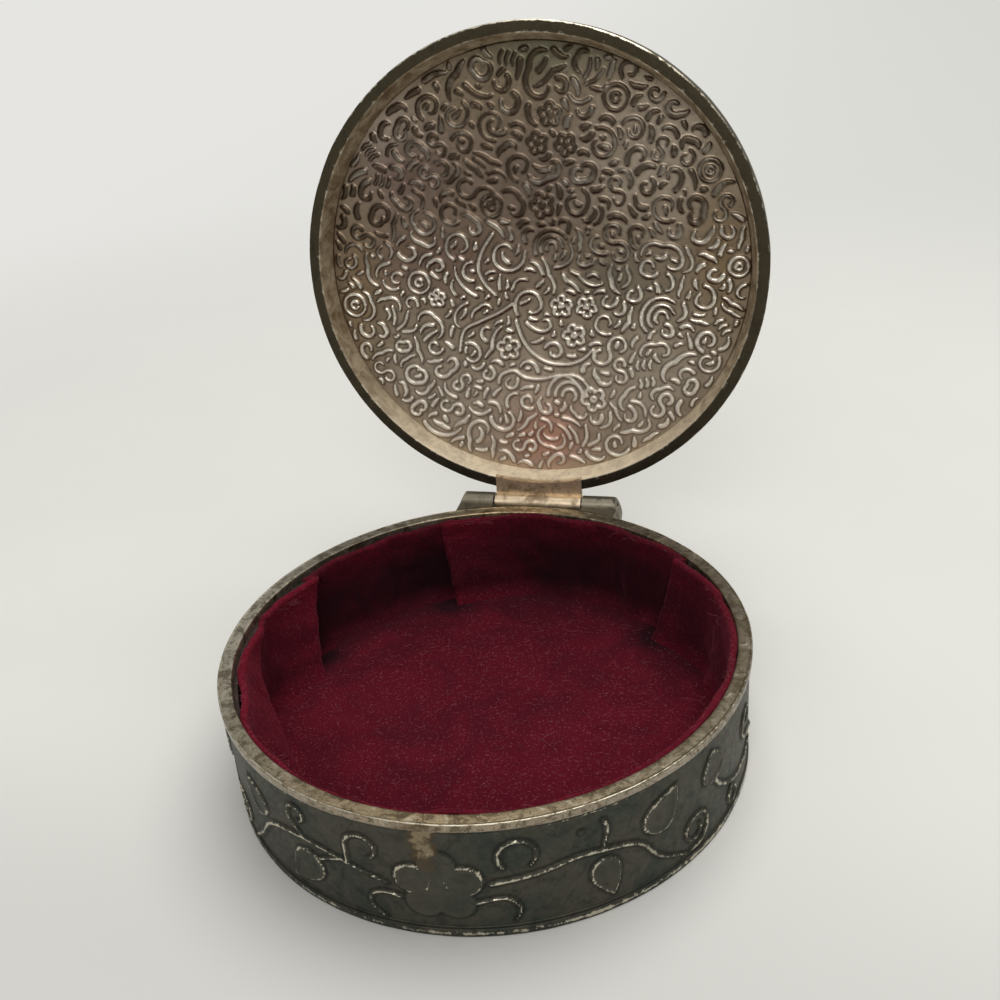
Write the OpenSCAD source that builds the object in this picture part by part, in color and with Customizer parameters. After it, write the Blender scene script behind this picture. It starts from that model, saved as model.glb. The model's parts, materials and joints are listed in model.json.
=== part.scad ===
// Round hinged rosary box: a silvered white-metal base with a raised vine, a shallow lid
// with a brocade sheet let into it, a pinned hinge and a pleated velvet lining.
// Millimetres, +Z up. The origin is the centre of the underside, the hinge is at +Y and the
// lid stands open on its stop.

/* [Base] */
// Outside diameter of the rim
base_d = 76; // [64:1:90]
// Height of the base, from the table to the top of the rim
base_h = 18.6; // [16:0.2:24]
// Thickness of the wall at the rim, which is also the width of the rim's flat top
wall_t = 2.0; // [1.6:0.1:2.6]
// How far the decorated face of the wall lies behind the rim
wall_recess = 0.35; // [0.1:0.05:0.6]
// Height of the plain band under the rim's top
rim_band_h = 1.25; // [0.8:0.05:1.8]
// Bevel round the rim's outer top edge
rim_bevel = 0.2; // [0.1:0.05:0.4]
// Height of the foot moulding
foot_h = 1.3; // [0.8:0.1:2.2]
// How far the foot moulding stands out from the wall
foot_out = 0.22; // [0.1:0.02:0.4]
// Thickness of the bottom plate
plate_t = 1.2; // [0.8:0.1:1.8]
// Width of the ledge that the bottom plate is soldered to
plate_seat = 0.8; // [0.5:0.1:1.1]

/* [Vine] */
// Height of the raised vine above the face of the wall
vine_h = 0.35; // [0.15:0.05:0.5]
// Width of the stems
stem_w = 0.9; // [0.5:0.1:1.3]
// Width of the tendrils and scrolls
tendril_w = 0.65; // [0.4:0.05:1]
// Distance of the rose's petals from its middle
petal_reach = 3.5; // [2.6:0.1:4]
// Diameter of a petal
petal_d = 3.9; // [2.8:0.1:4.4]
// Length of one repeat of the vine along the wall
repeat_l = 71; // [66:1:76]

/* [Lid] */
// Depth of the lid from its lip to the edge of its top
lid_edge_h = 5.1; // [4.6:0.1:7]
// Width of the flat lip
lip_w = 1.8; // [1.2:0.1:2.4]
// Depth of the recess in the lid, down to the brocade sheet
recess_depth = 3.8; // [2.8:0.1:3.9]
// How far the recess narrows from the lip to the sheet
recess_draft = 1.0; // [0.4:0.1:1.6]
// Thickness of the brocade sheet
sheet_t = 0.5; // [0.3:0.1:0.8]
// Thickness of the lid's top above the sheet, at the edge of the sheet
top_t = 0.9; // [0.7:0.1:1.6]
// Rise of the lid's top from the edge to the middle
dome_rise = 1.1; // [0.4:0.1:2.4]
// How far the lid opens from shut to its stop, in degrees
lid_open = 96; // [80:1:110]
// Gap between the shut lid and the rim
lid_gap = 0.1; // [0.05:0.05:0.3]

/* [Hinge] */
// Distance of the hinge pin behind the rim
pin_back = 1.9; // [1.8:0.05:2.4]
// Depth of the hinge pin below the top of the rim
pin_drop = 0.3; // [0.1:0.05:0.6]
// Diameter of the hinge pin
pin_d = 1.2; // [0.9:0.1:1.4]
// Outside diameter of the two lugs on the base
lug_d = 3.2; // [2.8:0.1:3.6]
// Outside diameter of the barrel on the lid
barrel_d = 2.9; // [2.6:0.1:3.2]
// Length of the barrel
barrel_l = 15.2; // [10:0.2:20]
// Length of each lug along the pin, at its crest
lug_l = 5.4; // [4:0.2:8]
// How much longer each lug is at its foot than at its crest
lug_flare = 1.3; // [0.4:0.1:2]
// Height of the lugs below the pin, down the wall
lug_drop = 4.4; // [3:0.2:7]
// Play between the barrel and a lug, at each end
end_play = 0.3; // [0.15:0.05:0.6]
// Thickness of the leaf that joins the barrel to the lid
leaf_t = 0.8; // [0.5:0.1:1.2]
// Angle below the pin at which the barrel's heel meets the wall, in degrees
heel_angle = 35; // [30:1:42]
// Height of the heel's flat face
heel_face = 0.9; // [0.5:0.1:1.4]

/* [Lining] */
// Thickness of the card behind the velvet
card_t = 0.5; // [0.3:0.1:0.9]
// Thickness of the velvet
velvet_t = 0.8; // [0.5:0.1:1.2]
// Depth of the velvet's top edge below the rim
lining_drop = 0.8; // [0.6:0.1:3]
// Height of the doubled hem at the velvet's top edge
hem_h = 1.1; // [0.8:0.1:1.8]
// Thickness of the wadding at the edge of the floor pad
wadding_t = 0.5; // [0.3:0.1:1.2]
// Crown of the floor pad, from its edge to its middle
floor_crown = 0.9; // [0.4:0.1:2]
// Reach of the largest pleat into the box
pleat_reach = 2.0; // [0.8:0.1:2.6]

/* [Hidden] */
base_r = base_d/2;
bore_r = base_r-wall_t;
wall_r = base_r-wall_recess;
round_fn = 128;
arc_steps = 6;
// Clearances: pieces that are soldered or glued, the running pin and a face at its stop
seat_gap = 0.04;
pin_play = 0.05;
stop_gap = 0.03;
pin_r = pin_d/2;
lug_r = lug_d/2;
barrel_r = barrel_d/2;
pin_y = base_r+pin_back;
pin_z = base_h-pin_drop;
lug_in = barrel_l/2+end_play;
pin_half = lug_in+lug_l+lug_flare/3;
lip_z = base_h+lid_gap;
recess_r = base_r-lip_w;
sheet_r = recess_r-recess_draft;
sheet_z = recess_depth;
top_z = sheet_z+sheet_t+top_t;
lid_edge = min(lid_edge_h, top_z);
card_r = bore_r-seat_gap;
lining_r = card_r-card_t-seat_gap;
lining_top = base_h-lining_drop;
card_top = lining_top-velvet_t;
floor_z = plate_t;
pad_z = floor_z+card_t;
pad_r = lining_r-velvet_t-0.1;
// Pleats of the wall lining: [degrees from +X, width in degrees, share of the full reach]
pleats = [[42, 7, 0.45], [55, 7, 0.4], [106, 9, 0.75], [164, 7, 0.7], [176, 9, 0.85],
    [213, 22, 1], [336, 14, 0.5]];

// Points of an arc round c, from angle a0 to a1
function arc(c, r, a0, a1, n = arc_steps) =
    [for (i = [0:n]) c+r*[cos(a0+(a1-a0)*i/n), sin(a0+(a1-a0)*i/n)]];

// Reach of the lining into the box at angle a: every pleat is a smooth ridge
function turn(a, b) = abs((a-b+540)%360-180);
function pleat(a) = pleat_reach*max([for (p = pleats)
    let (t = turn(a, p[0])/p[1]) t < 1 ? p[2]*pow(cos(90*t), 2) : 0]);

// Smooth curve through points p, with n steps between two of them
function at(p, i) = p[max(0, min(len(p)-1, i))];
function smooth(p, n = 3) = [for (i = [0:len(p)-2], k = [0:n-1]) let (t = k/n)
    at(p, i)+t*((at(p, i+1)-at(p, i-1))+t*((2*at(p, i-1)-5*at(p, i)+4*at(p, i+1)-at(p, i+2))
        +t*(3*at(p, i)-at(p, i-1)-3*at(p, i+1)+at(p, i+2))))/2, p[len(p)-1]];

// Outline of a stroke w wide along the points p, drawn in to a third of that at its far end
function unit(v) = v/norm(v);
function side(p, i) = let (d = unit(at(p, i+1)-at(p, i-1))) [-d[1], d[0]];
function stroke(p, w) = let (n = len(p)-1, half = [for (i = [0:n]) w/2*(1-0.65*pow(i/n, 3))])
    concat([for (i = [0:n]) p[i]+side(p, i)*half[i]], [for (i = [n:-1:0]) p[i]-side(p, i)*half[i]]);

// Points of a scroll that winds in from radius r to r1, from angle a0 to a1 round c
function scroll(c, r, r1, a0, a1, n = 14) =
    [for (i = [0:n]) let (a = a0+(a1-a0)*i/n) c+(r+(r1-r)*i/n)*[cos(a), sin(a)]];

// Outline of a pointed leaf from its stalk to its tip, w wide
function leaf(stalk, tip, w, n = 10) = let (d = tip-stalk, s = unit([-d[1], d[0]]))
    concat([for (i = [0:n]) let (a = 180*i/n) stalk+d*(1-cos(a))/2+s*w*0.65*sin(a)*cos(a/2)],
        [for (i = [n-1:-1:1]) let (a = 180*i/n) stalk+d*(1-cos(a))/2-s*w*0.65*sin(a)*cos(a/2)]);

// Stands a flat outline, drawn as [distance along the wall from its middle, height], on the wall
// at distance s to the right of the front
module on_wall(s) {
    depth = 2;
    intersection() {
        rotate([0, 0, s/wall_r*180/PI-90]) translate([wall_r-depth, 0, 0]) rotate([90, 0, 90])
            linear_extrude(height = 2*depth) children();
        translate([0, 0, foot_h]) difference() {
            cylinder(h = base_h-foot_h-rim_band_h, r = wall_r+vine_h, $fn = round_fn);
            translate([0, 0, -1]) cylinder(h = base_h, r = wall_r-vine_h, $fn = round_fn);
        }
    }
}
module motif(outline) {
    s = (min([for (q = outline) q[0]])+max([for (q = outline) q[0]]))/2;
    on_wall(s) polygon([for (q = outline) [q[0]-s, q[1]]]);
}

// Stands each outline of a list on the wall, moved along it by s
module motifs(outlines, s) {
    for (o = outlines) motif([for (q = o) q+[s, 0]]);
}

// Five petals round a boss, at distance s and height z
module rose(s, z) {
    on_wall(s) translate([0, z]) {
        for (k = [0:4]) rotate(90+72*k) translate([petal_reach, 0]) circle(d = petal_d, $fn = 24);
        circle(d = petal_d*0.8, $fn = 24);
    }
}

// Turns what is drawn shut about the pin to the open stop
module at_stop() {
    translate([0, pin_y, pin_z]) rotate([-lid_open, 0, 0]) translate([0, -pin_y, -pin_z])
        children();
}

// A cylinder along X, centred on the pin's axis
module along_pin(r, l) {
    translate([0, pin_y, pin_z]) rotate([0, 90, 0])
        cylinder(h = l, r = r, center = true, $fn = round_fn);
}

// One repeat of the vine, with its rose at distance s; behind the hinge only its lower half
module vine_repeat(s, behind_hinge = false) {
    left_stem = [[-32, 2.2], [-29, 4.9], [-25.5, 8.9], [-19.4, 10.5], [-13.4, 10], [-6.4, 8]];
    right_stem = [[6.4, 8.8], [12.4, 9.75], [17.8, 10.8], [24.9, 9.2], [28.5, 4.9], [33.1, 2.2]];
    left_hook = [[-4.9, 6.1], [-6.9, 6.4], [-8.6, 5.7], [-9.2, 4.4], [-8.6, 3], [-7.3, 2.1]];
    right_hook = [[3.2, 5.4], [5.6, 6.1], [8, 6.3], [9.5, 4.9], [9.5, 3.5], [8.9, 2.4]];
    motifs([
        stroke(smooth(left_stem), stem_w),
        stroke(smooth(right_stem), stem_w),
        stroke(smooth(left_hook), tendril_w),
        stroke(smooth(right_hook), tendril_w),
        stroke(smooth([[-13, 9.7], [-15, 8.9], [-17.6, 7.4]]), tendril_w),
        stroke(scroll([34.9, 5.1], 3.1, 0.9, -105, 400), tendril_w),
        leaf([-16.6, 8.2], [-21.9, 2.5], 5.2),
        leaf([20, 9.2], [21.6, 2.4], 4.2)], s);
    if (!behind_hinge) motifs([
        stroke(concat([[-11.8, 9.9]], scroll([-9.2, 12.7], 2.6, 1.3, 185, -70)), tendril_w),
        stroke(concat([[-18.8, 10.8]], scroll([-19.1, 14], 1.9, 0.7, 215, -100)), tendril_w),
        stroke(scroll([9.8, 12.9], 2.5, 2.2, -140, -410), tendril_w),
        stroke(smooth([[20.5, 15.1], [20.9, 13.7], [20.3, 11]]), tendril_w),
        leaf([28, 8.9], [31.6, 13.9], 4.6),
        leaf([-26.6, 9.4], [-30.6, 14.2], 4.4)], s);
    rose(s, 8.4);
}

// What fills the wall between the repeats: a leaf on its stem, a spiral and a scroll
module vine_filler(s) {
    motifs([
        leaf([-11, 10.2], [-11.8, 15.6], 5.2),
        stroke(smooth([[-11, 10.3], [-9.3, 8.1], [-5.3, 5.8], [-1, 5.3], [3, 6.4]]), stem_w),
        stroke(smooth([[0.4, 8.8], [4.6, 7.2], [8.2, 4.2], [11.4, 2.2]]), stem_w),
        stroke(scroll([-5.2, 3.4], 1.9, 0.7, 100, 480), tendril_w),
        stroke(concat([[3, 6.6]], scroll([0.4, 11.6], 2.8, 1.2, 285, -60)), tendril_w)], s);
}

// The vine all round: three repeats and a filler
module vine() {
    gap = 2*PI*wall_r-3*repeat_l;
    first = 3;
    vine_repeat(first);
    vine_repeat(first+repeat_l+gap, behind_hinge = true);
    vine_repeat(first-repeat_l);
    vine_filler(first+repeat_l/2+gap/2+3);
}

// Cast ring: flat rim with a bevelled edge, recessed face with the vine, foot moulding and a
// seat below
module base_wall() {
    inner_bevel = rim_bevel/2;
    seat_r = bore_r+plate_seat;
    foot_r = wall_r+foot_out;
    band_z = base_h-rim_band_h;
    bead_r = foot_out/2;
    bead_z = foot_h+3*bead_r;
    color("silver") {
        vine();
        rotate_extrude($fn = round_fn) polygon(concat(
            [[seat_r, 0], [foot_r-foot_out, 0]],
            arc([foot_r-foot_out, foot_out], foot_out, -90, 0),
            arc([foot_r-foot_out, foot_h-foot_out], foot_out, 0, 90),
            arc([wall_r, bead_z], bead_r, -90, 90),
            [[wall_r, band_z-wall_recess/2], [base_r, band_z+wall_recess/2],
             [base_r, base_h-rim_bevel], [base_r-rim_bevel, base_h],
             [bore_r+inner_bevel, base_h], [bore_r, base_h-inner_bevel],
             [bore_r, plate_t], [seat_r, plate_t]]));
    }
}

// Bottom plate, soldered up into the ring and flush with the foot
module base_plate() {
    color("gray") cylinder(h = plate_t, r = bore_r+plate_seat-seat_gap, $fn = round_fn);
}

// Lug: a short cylinder round the pin with a web that runs down the wall; side is -1 or 1
module hinge_lug(side) {
    crest = lug_in+lug_l;
    foot = crest+lug_flare;
    low = pin_z-lug_drop;
    reach_y = pin_back+wall_t;
    color("darkgray") difference() {
        intersection() {
            union() {
                along_pin(lug_r, 2*foot);
                rotate([90, 0, 90]) linear_extrude(height = 2*foot, center = true)
                    polygon([[pin_y-reach_y-lug_r, base_h], [pin_y, base_h], [pin_y+lug_r, pin_z],
                        [pin_y+lug_r*0.8, pin_z-lug_r*0.6], [pin_y-pin_back, low],
                        [pin_y-reach_y-lug_r, low]]);
            }
            translate([0, pin_y+2*lug_r, 0]) rotate([90, 0, 0]) linear_extrude(height = 4*reach_y)
                polygon([[side*lug_in, low], [side*foot, low], [side*foot, pin_z-lug_r],
                    [side*(crest+lug_flare/5), pin_z+lug_r*0.6], [side*(crest-lug_flare/3), pin_z+lug_r],
                    [side*lug_in, pin_z+lug_r]]);
        }
        cylinder(h = 2*base_h, r = base_r+seat_gap, $fn = round_fn);
        along_pin(pin_r+seat_gap/4, 4*foot);
    }
}

module hinge_lug_left() { hinge_lug(-1); }
module hinge_lug_right() { hinge_lug(1); }

// Steel pin through both lugs and the barrel
module hinge_pin() {
    color("lightgray") along_pin(pin_r, 2*pin_half);
}

// Cast lid, drawn shut: flat lip, tapering recess and a low domed top with two beads
module lid_shell() {
    lip_edge = 0.25;
    bead_r = 0.35;
    shoulder = 1.2;
    dome = [for (i = [0:8]) let (r = (base_r-shoulder-3)*(1-i/8), t = r/(base_r-shoulder-3))
        [r, top_z+dome_rise*(1-t*t)]];
    color("silver") at_stop() translate([0, 0, lip_z]) difference() {
        rotate_extrude($fn = round_fn) polygon(concat(
            [[recess_r, 0], [base_r-lip_edge, 0], [base_r, lip_edge], [base_r, lid_edge-shoulder]],
            arc([base_r-shoulder, lid_edge-shoulder], shoulder, 0, 90),
            arc([base_r-shoulder-1.2, lid_edge], bead_r, 0, 180),
            dome,
            [[0, sheet_z+sheet_t], [sheet_r, sheet_z+sheet_t], [sheet_r, sheet_z]]));
        translate([-barrel_l/2-seat_gap, recess_r-lip_w, -1])
            cube([barrel_l+2*seat_gap, 3*lip_w, 1+leaf_t+seat_gap]);
    }
}

// Thin sheet with raised brocade, pressed into the lid
module lid_brocade_sheet() {
    color("gainsboro") at_stop() translate([0, 0, lip_z+sheet_z])
        cylinder(h = sheet_t, r = sheet_r-seat_gap, $fn = round_fn);
}

// Leaf let into the lip, with the barrel round the pin and the heel that stops the lid
module lid_hinge_leaf() {
    heel_y = wall_r+stop_gap;
    heel_top = pin_z-(pin_y-heel_y)*tan(heel_angle);
    color("rosybrown") difference() {
        union() {
            along_pin(barrel_r, barrel_l);
            at_stop() intersection() {
                translate([-barrel_l/2, recess_r-lip_w, lip_z])
                    cube([barrel_l, pin_y-recess_r+lip_w, leaf_t]);
                translate([0, 0, lip_z-1]) difference() {
                    cylinder(h = leaf_t+2, r = pin_y+1, $fn = round_fn);
                    translate([0, 0, -1]) cylinder(h = leaf_t+4, r = recess_r+seat_gap, $fn = round_fn);
                }
            }
            rotate([90, 0, 90]) linear_extrude(height = barrel_l*0.8, center = true)
                polygon([[heel_y, heel_top], [heel_y, heel_top-heel_face],
                    [pin_y-barrel_r*0.3, pin_z-barrel_r*1.4], [pin_y+barrel_r*0.5, pin_z-barrel_r*0.8],
                    [pin_y, pin_z-barrel_r*0.5], [pin_y-barrel_r*0.8, pin_z-barrel_r*0.5]]);
        }
        along_pin(pin_r+pin_play, 2*barrel_l);
    }
}

// Card strip bent round inside the wall
module wall_card() {
    color("tan") translate([0, 0, plate_t]) difference() {
        cylinder(h = card_top-plate_t, r = card_r, $fn = round_fn);
        translate([0, 0, -1]) cylinder(h = base_h, r = card_r-card_t, $fn = round_fn);
    }
}

// Card disc on the bottom plate
module floor_card() {
    color("tan") translate([0, 0, floor_z]) cylinder(h = card_t, r = pad_r-velvet_t, $fn = round_fn);
}

// A round pad between two crowned faces
module crowned(r, z0, z1, rise) {
    steps = 8;
    rotate_extrude($fn = round_fn) polygon(concat([[0, z0], [r, z0]],
        [for (i = [0:steps]) let (t = 1-i/steps) [r*t, z1+rise*(1-pow(t, 4))]]));
}

// Cotton wadding that gives the floor its crown
module floor_wadding() {
    color("ivory") crowned(pad_r-velvet_t, pad_z, pad_z+wadding_t, floor_crown);
}

// Velvet over the wadding, turned down round the edge of the card
module velvet_floor() {
    color("maroon") difference() {
        crowned(pad_r, floor_z, pad_z+wadding_t+velvet_t, floor_crown);
        crowned(pad_r-velvet_t, floor_z-1, pad_z+wadding_t, floor_crown);
    }
}

// Opening inside the wall lining at radius r, drawn in by the pleats
module pleated_bore(r) {
    polygon([for (a = [0:2:358]) (r-pleat(a))*[cos(a), sin(a)]]);
}

// Velvet strip in soft pleats; its top is turned over the card and doubled as a hem
module velvet_wall() {
    inner = lining_r-velvet_t;
    hem_out = 0.25;
    color("maroon") difference() {
        union() {
            translate([0, 0, floor_z]) cylinder(h = lining_top-floor_z, r = lining_r, $fn = round_fn);
            translate([0, 0, card_top+seat_gap])
                cylinder(h = velvet_t-seat_gap, r = card_r, $fn = round_fn);
        }
        translate([0, 0, floor_z-1]) linear_extrude(height = base_h) pleated_bore(inner-hem_out);
        translate([0, 0, floor_z-1]) linear_extrude(height = lining_top-hem_h-floor_z+1)
            pleated_bore(inner);
        cylinder(h = pad_z+wadding_t+velvet_t+floor_crown/4, r = pad_r+0.05, $fn = round_fn);
    }
}

base_wall();
base_plate();
hinge_lug_left();
hinge_lug_right();
hinge_pin();
lid_shell();
lid_brocade_sheet();
lid_hinge_leaf();
wall_card();
floor_card();
floor_wadding();
velvet_wall();
velvet_floor();
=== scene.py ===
"""Dresses the round rosary box for its picture.

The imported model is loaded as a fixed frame. The base ring, the lid and its brocade sheet get
detailed castings, the velvet gets its pleats, pile and lint, and every other node gets a finish
of its own. Shapes and patterns are drawn in millimetres, in the frame of the model, and become
metres where a mesh, a modifier or a texture takes them.
"""
from __future__ import annotations

import json
import logging
import math
from collections.abc import Iterable, Sequence
from dataclasses import dataclass, field
from enum import Enum

import bpy
import numpy as np
from mathutils import Matrix, Vector

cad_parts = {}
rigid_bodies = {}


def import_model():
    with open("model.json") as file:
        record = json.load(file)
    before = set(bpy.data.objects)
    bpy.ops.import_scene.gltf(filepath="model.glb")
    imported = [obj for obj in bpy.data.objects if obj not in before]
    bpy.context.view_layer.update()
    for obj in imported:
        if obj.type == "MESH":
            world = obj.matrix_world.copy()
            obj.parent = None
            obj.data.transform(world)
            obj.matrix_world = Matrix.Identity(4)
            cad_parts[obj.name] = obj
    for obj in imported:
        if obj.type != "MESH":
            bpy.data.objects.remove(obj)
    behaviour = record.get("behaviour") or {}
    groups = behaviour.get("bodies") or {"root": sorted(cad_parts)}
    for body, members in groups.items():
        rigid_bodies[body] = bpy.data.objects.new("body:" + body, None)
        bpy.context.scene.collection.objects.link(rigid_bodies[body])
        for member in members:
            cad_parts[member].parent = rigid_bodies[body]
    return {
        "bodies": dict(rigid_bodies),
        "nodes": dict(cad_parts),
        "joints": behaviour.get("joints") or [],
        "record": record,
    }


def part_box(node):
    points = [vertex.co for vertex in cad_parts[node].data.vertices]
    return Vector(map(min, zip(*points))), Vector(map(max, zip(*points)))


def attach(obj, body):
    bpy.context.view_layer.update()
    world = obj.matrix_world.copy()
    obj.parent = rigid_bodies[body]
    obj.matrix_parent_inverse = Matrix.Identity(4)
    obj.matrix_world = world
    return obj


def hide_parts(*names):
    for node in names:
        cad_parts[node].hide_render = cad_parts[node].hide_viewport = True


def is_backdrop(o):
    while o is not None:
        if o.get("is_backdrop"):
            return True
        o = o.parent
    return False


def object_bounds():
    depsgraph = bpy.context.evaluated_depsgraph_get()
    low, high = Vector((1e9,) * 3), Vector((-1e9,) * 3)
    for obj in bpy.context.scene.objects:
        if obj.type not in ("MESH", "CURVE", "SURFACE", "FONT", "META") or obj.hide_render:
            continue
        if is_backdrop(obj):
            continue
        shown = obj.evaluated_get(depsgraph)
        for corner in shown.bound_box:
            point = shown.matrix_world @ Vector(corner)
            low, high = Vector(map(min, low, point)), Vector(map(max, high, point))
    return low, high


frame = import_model()

LOG = logging.getLogger("rosary_box")
MM = 0.001
SEED = 1887
LEAST_WEIGHT = 0.002

Colour = tuple[float, float, float]
Points = np.ndarray


class Body(str, Enum):
    """The two bodies that pieces ride on."""

    BASE = "base"
    LID = "lid"


class Slot(str, Enum):
    """Names of material slots in the record."""

    ANTIQUED = "antiqued_silver"
    TARNISHED = "tarnished_silver"
    BROCADE = "brocade_silver"
    VELVET = "burgundy_velvet"


# ------------------------------------------------------------------------------ small helpers


def shade(red: int, green: int, blue: int) -> Colour:
    """Turns a screen colour into the linear one that shaders use.

    Args:
        red: Red, from 0 to 255.
        green: Green, from 0 to 255.
        blue: Blue, from 0 to 255.

    Returns:
        The linear colour.
    """
    def linear(c: int) -> float:
        """Linear value of one channel."""
        c = c / 255
        return c / 12.92 if c <= 0.04045 else ((c + 0.055) / 1.055) ** 2.4
    return linear(red), linear(green), linear(blue)


def ease(value: Points | float, low: float, high: float) -> Points | float:
    """Rises smoothly from 0 at low to 1 at high.

    Args:
        value: Number or array.
        low: Where the rise starts.
        high: Where it ends.

    Returns:
        Number or array from 0 to 1.
    """
    t = np.clip((value - low) / (high - low), 0, 1)
    return t * t * (3 - 2 * t)


def hump(value: Points | float, middle: float, width: float) -> Points | float:
    """Rises softly to 1 at a middle and falls away on both sides."""
    return np.exp(-((value - middle) / width) ** 2)


def fade(colour: Points, share: Points, tone: Colour) -> Points:
    """Blends rows of colours towards one tone, by a share for each row."""
    return colour + share[:, None] * (np.array(tone) - colour)


def polar(places: Points) -> tuple[Points, Points]:
    """Distance of each place from the Z axis, and its angle from +X in degrees."""
    x, y = places[:, 0], places[:, 1]
    return np.hypot(x, y), np.degrees(np.arctan2(y, x)) % 360


def deselect() -> None:
    """Leaves edit mode and deselects every object."""
    if bpy.context.object and bpy.context.object.mode != "OBJECT":
        bpy.ops.object.mode_set(mode="OBJECT")
    bpy.ops.object.select_all(action="DESELECT")


def activate(piece: bpy.types.Object) -> None:
    """Selects one object alone and makes it active.

    Args:
        piece: The object.
    """
    deselect()
    piece.select_set(True)
    bpy.context.view_layer.objects.active = piece


def new_piece(name: str, points: Iterable[Sequence[float]], edges: Sequence[tuple[int, int]] = (),
              faces: Sequence[Sequence[int]] = ()) -> bpy.types.Object:
    """Makes an object from points, edges and faces, and activates it.

    Args:
        name: Name of the piece.
        points: Its vertices.
        edges: Its loose edges.
        faces: Its faces.

    Returns:
        The new object, at the origin.
    """
    mesh = bpy.data.meshes.new(name)
    mesh.from_pydata([tuple(p) for p in points], list(edges), list(faces))
    piece = bpy.data.objects.new(name, mesh)
    bpy.context.scene.collection.objects.link(piece)
    activate(piece)
    return piece


def corners(piece: bpy.types.Object) -> Points:
    """Reads where the vertices of a piece are.

    Args:
        piece: The piece.

    Returns:
        Rows of coordinates.
    """
    flat = np.empty(len(piece.data.vertices) * 3, np.float32)
    piece.data.vertices.foreach_get("co", flat)
    return flat.reshape(-1, 3).astype(float)


def put_corners(piece: bpy.types.Object, places: Points) -> None:
    """Moves the vertices of a piece to new places."""
    piece.data.vertices.foreach_set("co", np.asarray(places, np.float32).ravel())
    piece.data.update()


def paint(piece: bpy.types.Object, name: str, values: Points) -> None:
    """Stores one number per vertex for the materials to read.

    Args:
        piece: The piece.
        name: Name of the attribute.
        values: One number for each vertex.
    """
    layer = piece.data.attributes.new(name, "FLOAT", "POINT")
    layer.data.foreach_set("value", np.asarray(values, np.float32))


def paint_colour(piece: bpy.types.Object, name: str, values: Points) -> None:
    """Stores one colour per vertex for the materials to read.

    Args:
        piece: The piece.
        name: Name of the attribute.
        values: A row of red, green and blue for each vertex.
    """
    layer = piece.data.color_attributes.new(name, "FLOAT_COLOR", "POINT")
    full = np.concatenate([values, np.ones((len(values), 1))], axis=1)
    layer.data.foreach_set("color", np.asarray(full, np.float32).ravel())


def finish_modifier(piece: bpy.types.Object, kind: str, **settings: object) -> None:
    """Adds a modifier and applies it.

    Args:
        piece: The piece.
        kind: Kind of modifier.
        **settings: Its settings.
    """
    activate(piece)
    modifier = piece.modifiers.new(kind.title(), kind)
    for name, value in settings.items():
        setattr(modifier, name, value)
    bpy.ops.object.modifier_apply(modifier=modifier.name)


def emboss(piece: bpy.types.Object, name: str, raised: Points, height: float) -> None:
    """Raises a surface where a pattern is drawn on it.

    Args:
        piece: The piece.
        name: Name of the pattern's vertex group.
        raised: Height at each vertex, from 0 to 1.
        height: Height in metres that 1 stands for.
    """
    group = piece.vertex_groups.new(name=name)
    for i in np.flatnonzero(raised > LEAST_WEIGHT):
        group.add([int(i)], float(raised[i]), "REPLACE")
    finish_modifier(piece, "DISPLACE", strength=height, mid_level=0, vertex_group=name)


def ruffle(piece: bpy.types.Object, name: str, size: float, height: float, depth: int = 2
           ) -> None:
    """Moves a surface in and out by soft clouds, so that it doesn't look machined.

    Args:
        piece: The piece.
        name: Name of the clouds texture.
        size: Size of its clouds in metres.
        height: From its lowest to its highest place, in metres.
        depth: How many finer layers the clouds have.
    """
    texture = bpy.data.textures.new(name, "CLOUDS")
    texture.noise_scale = size
    texture.noise_depth = depth
    finish_modifier(piece, "DISPLACE", strength=height, mid_level=0.5, texture=texture)


def dress(piece: bpy.types.Object, material: bpy.types.Material) -> None:
    """Gives a piece one material."""
    piece.data.materials.clear()
    piece.data.materials.append(material)


def hand_over(piece: bpy.types.Object, material: bpy.types.Material, body: Body, slot: Slot,
              *nodes: str, crease: float | None = None) -> None:
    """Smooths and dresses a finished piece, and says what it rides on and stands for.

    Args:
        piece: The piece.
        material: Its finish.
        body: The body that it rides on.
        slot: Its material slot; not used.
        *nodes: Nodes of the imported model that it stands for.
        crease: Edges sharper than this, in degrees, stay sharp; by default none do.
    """
    activate(piece)
    if crease is None:
        bpy.ops.object.shade_smooth()
    else:
        bpy.ops.object.shade_smooth_by_angle(angle=math.radians(crease))
    dress(piece, material)
    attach(piece, body.value)
    if nodes:
        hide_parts(*nodes)
    LOG.info("%s: %d faces, rides on %s", piece.name, len(piece.data.polygons), body.value)


# ------------------------------------------------------------------------------ the layout


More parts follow.
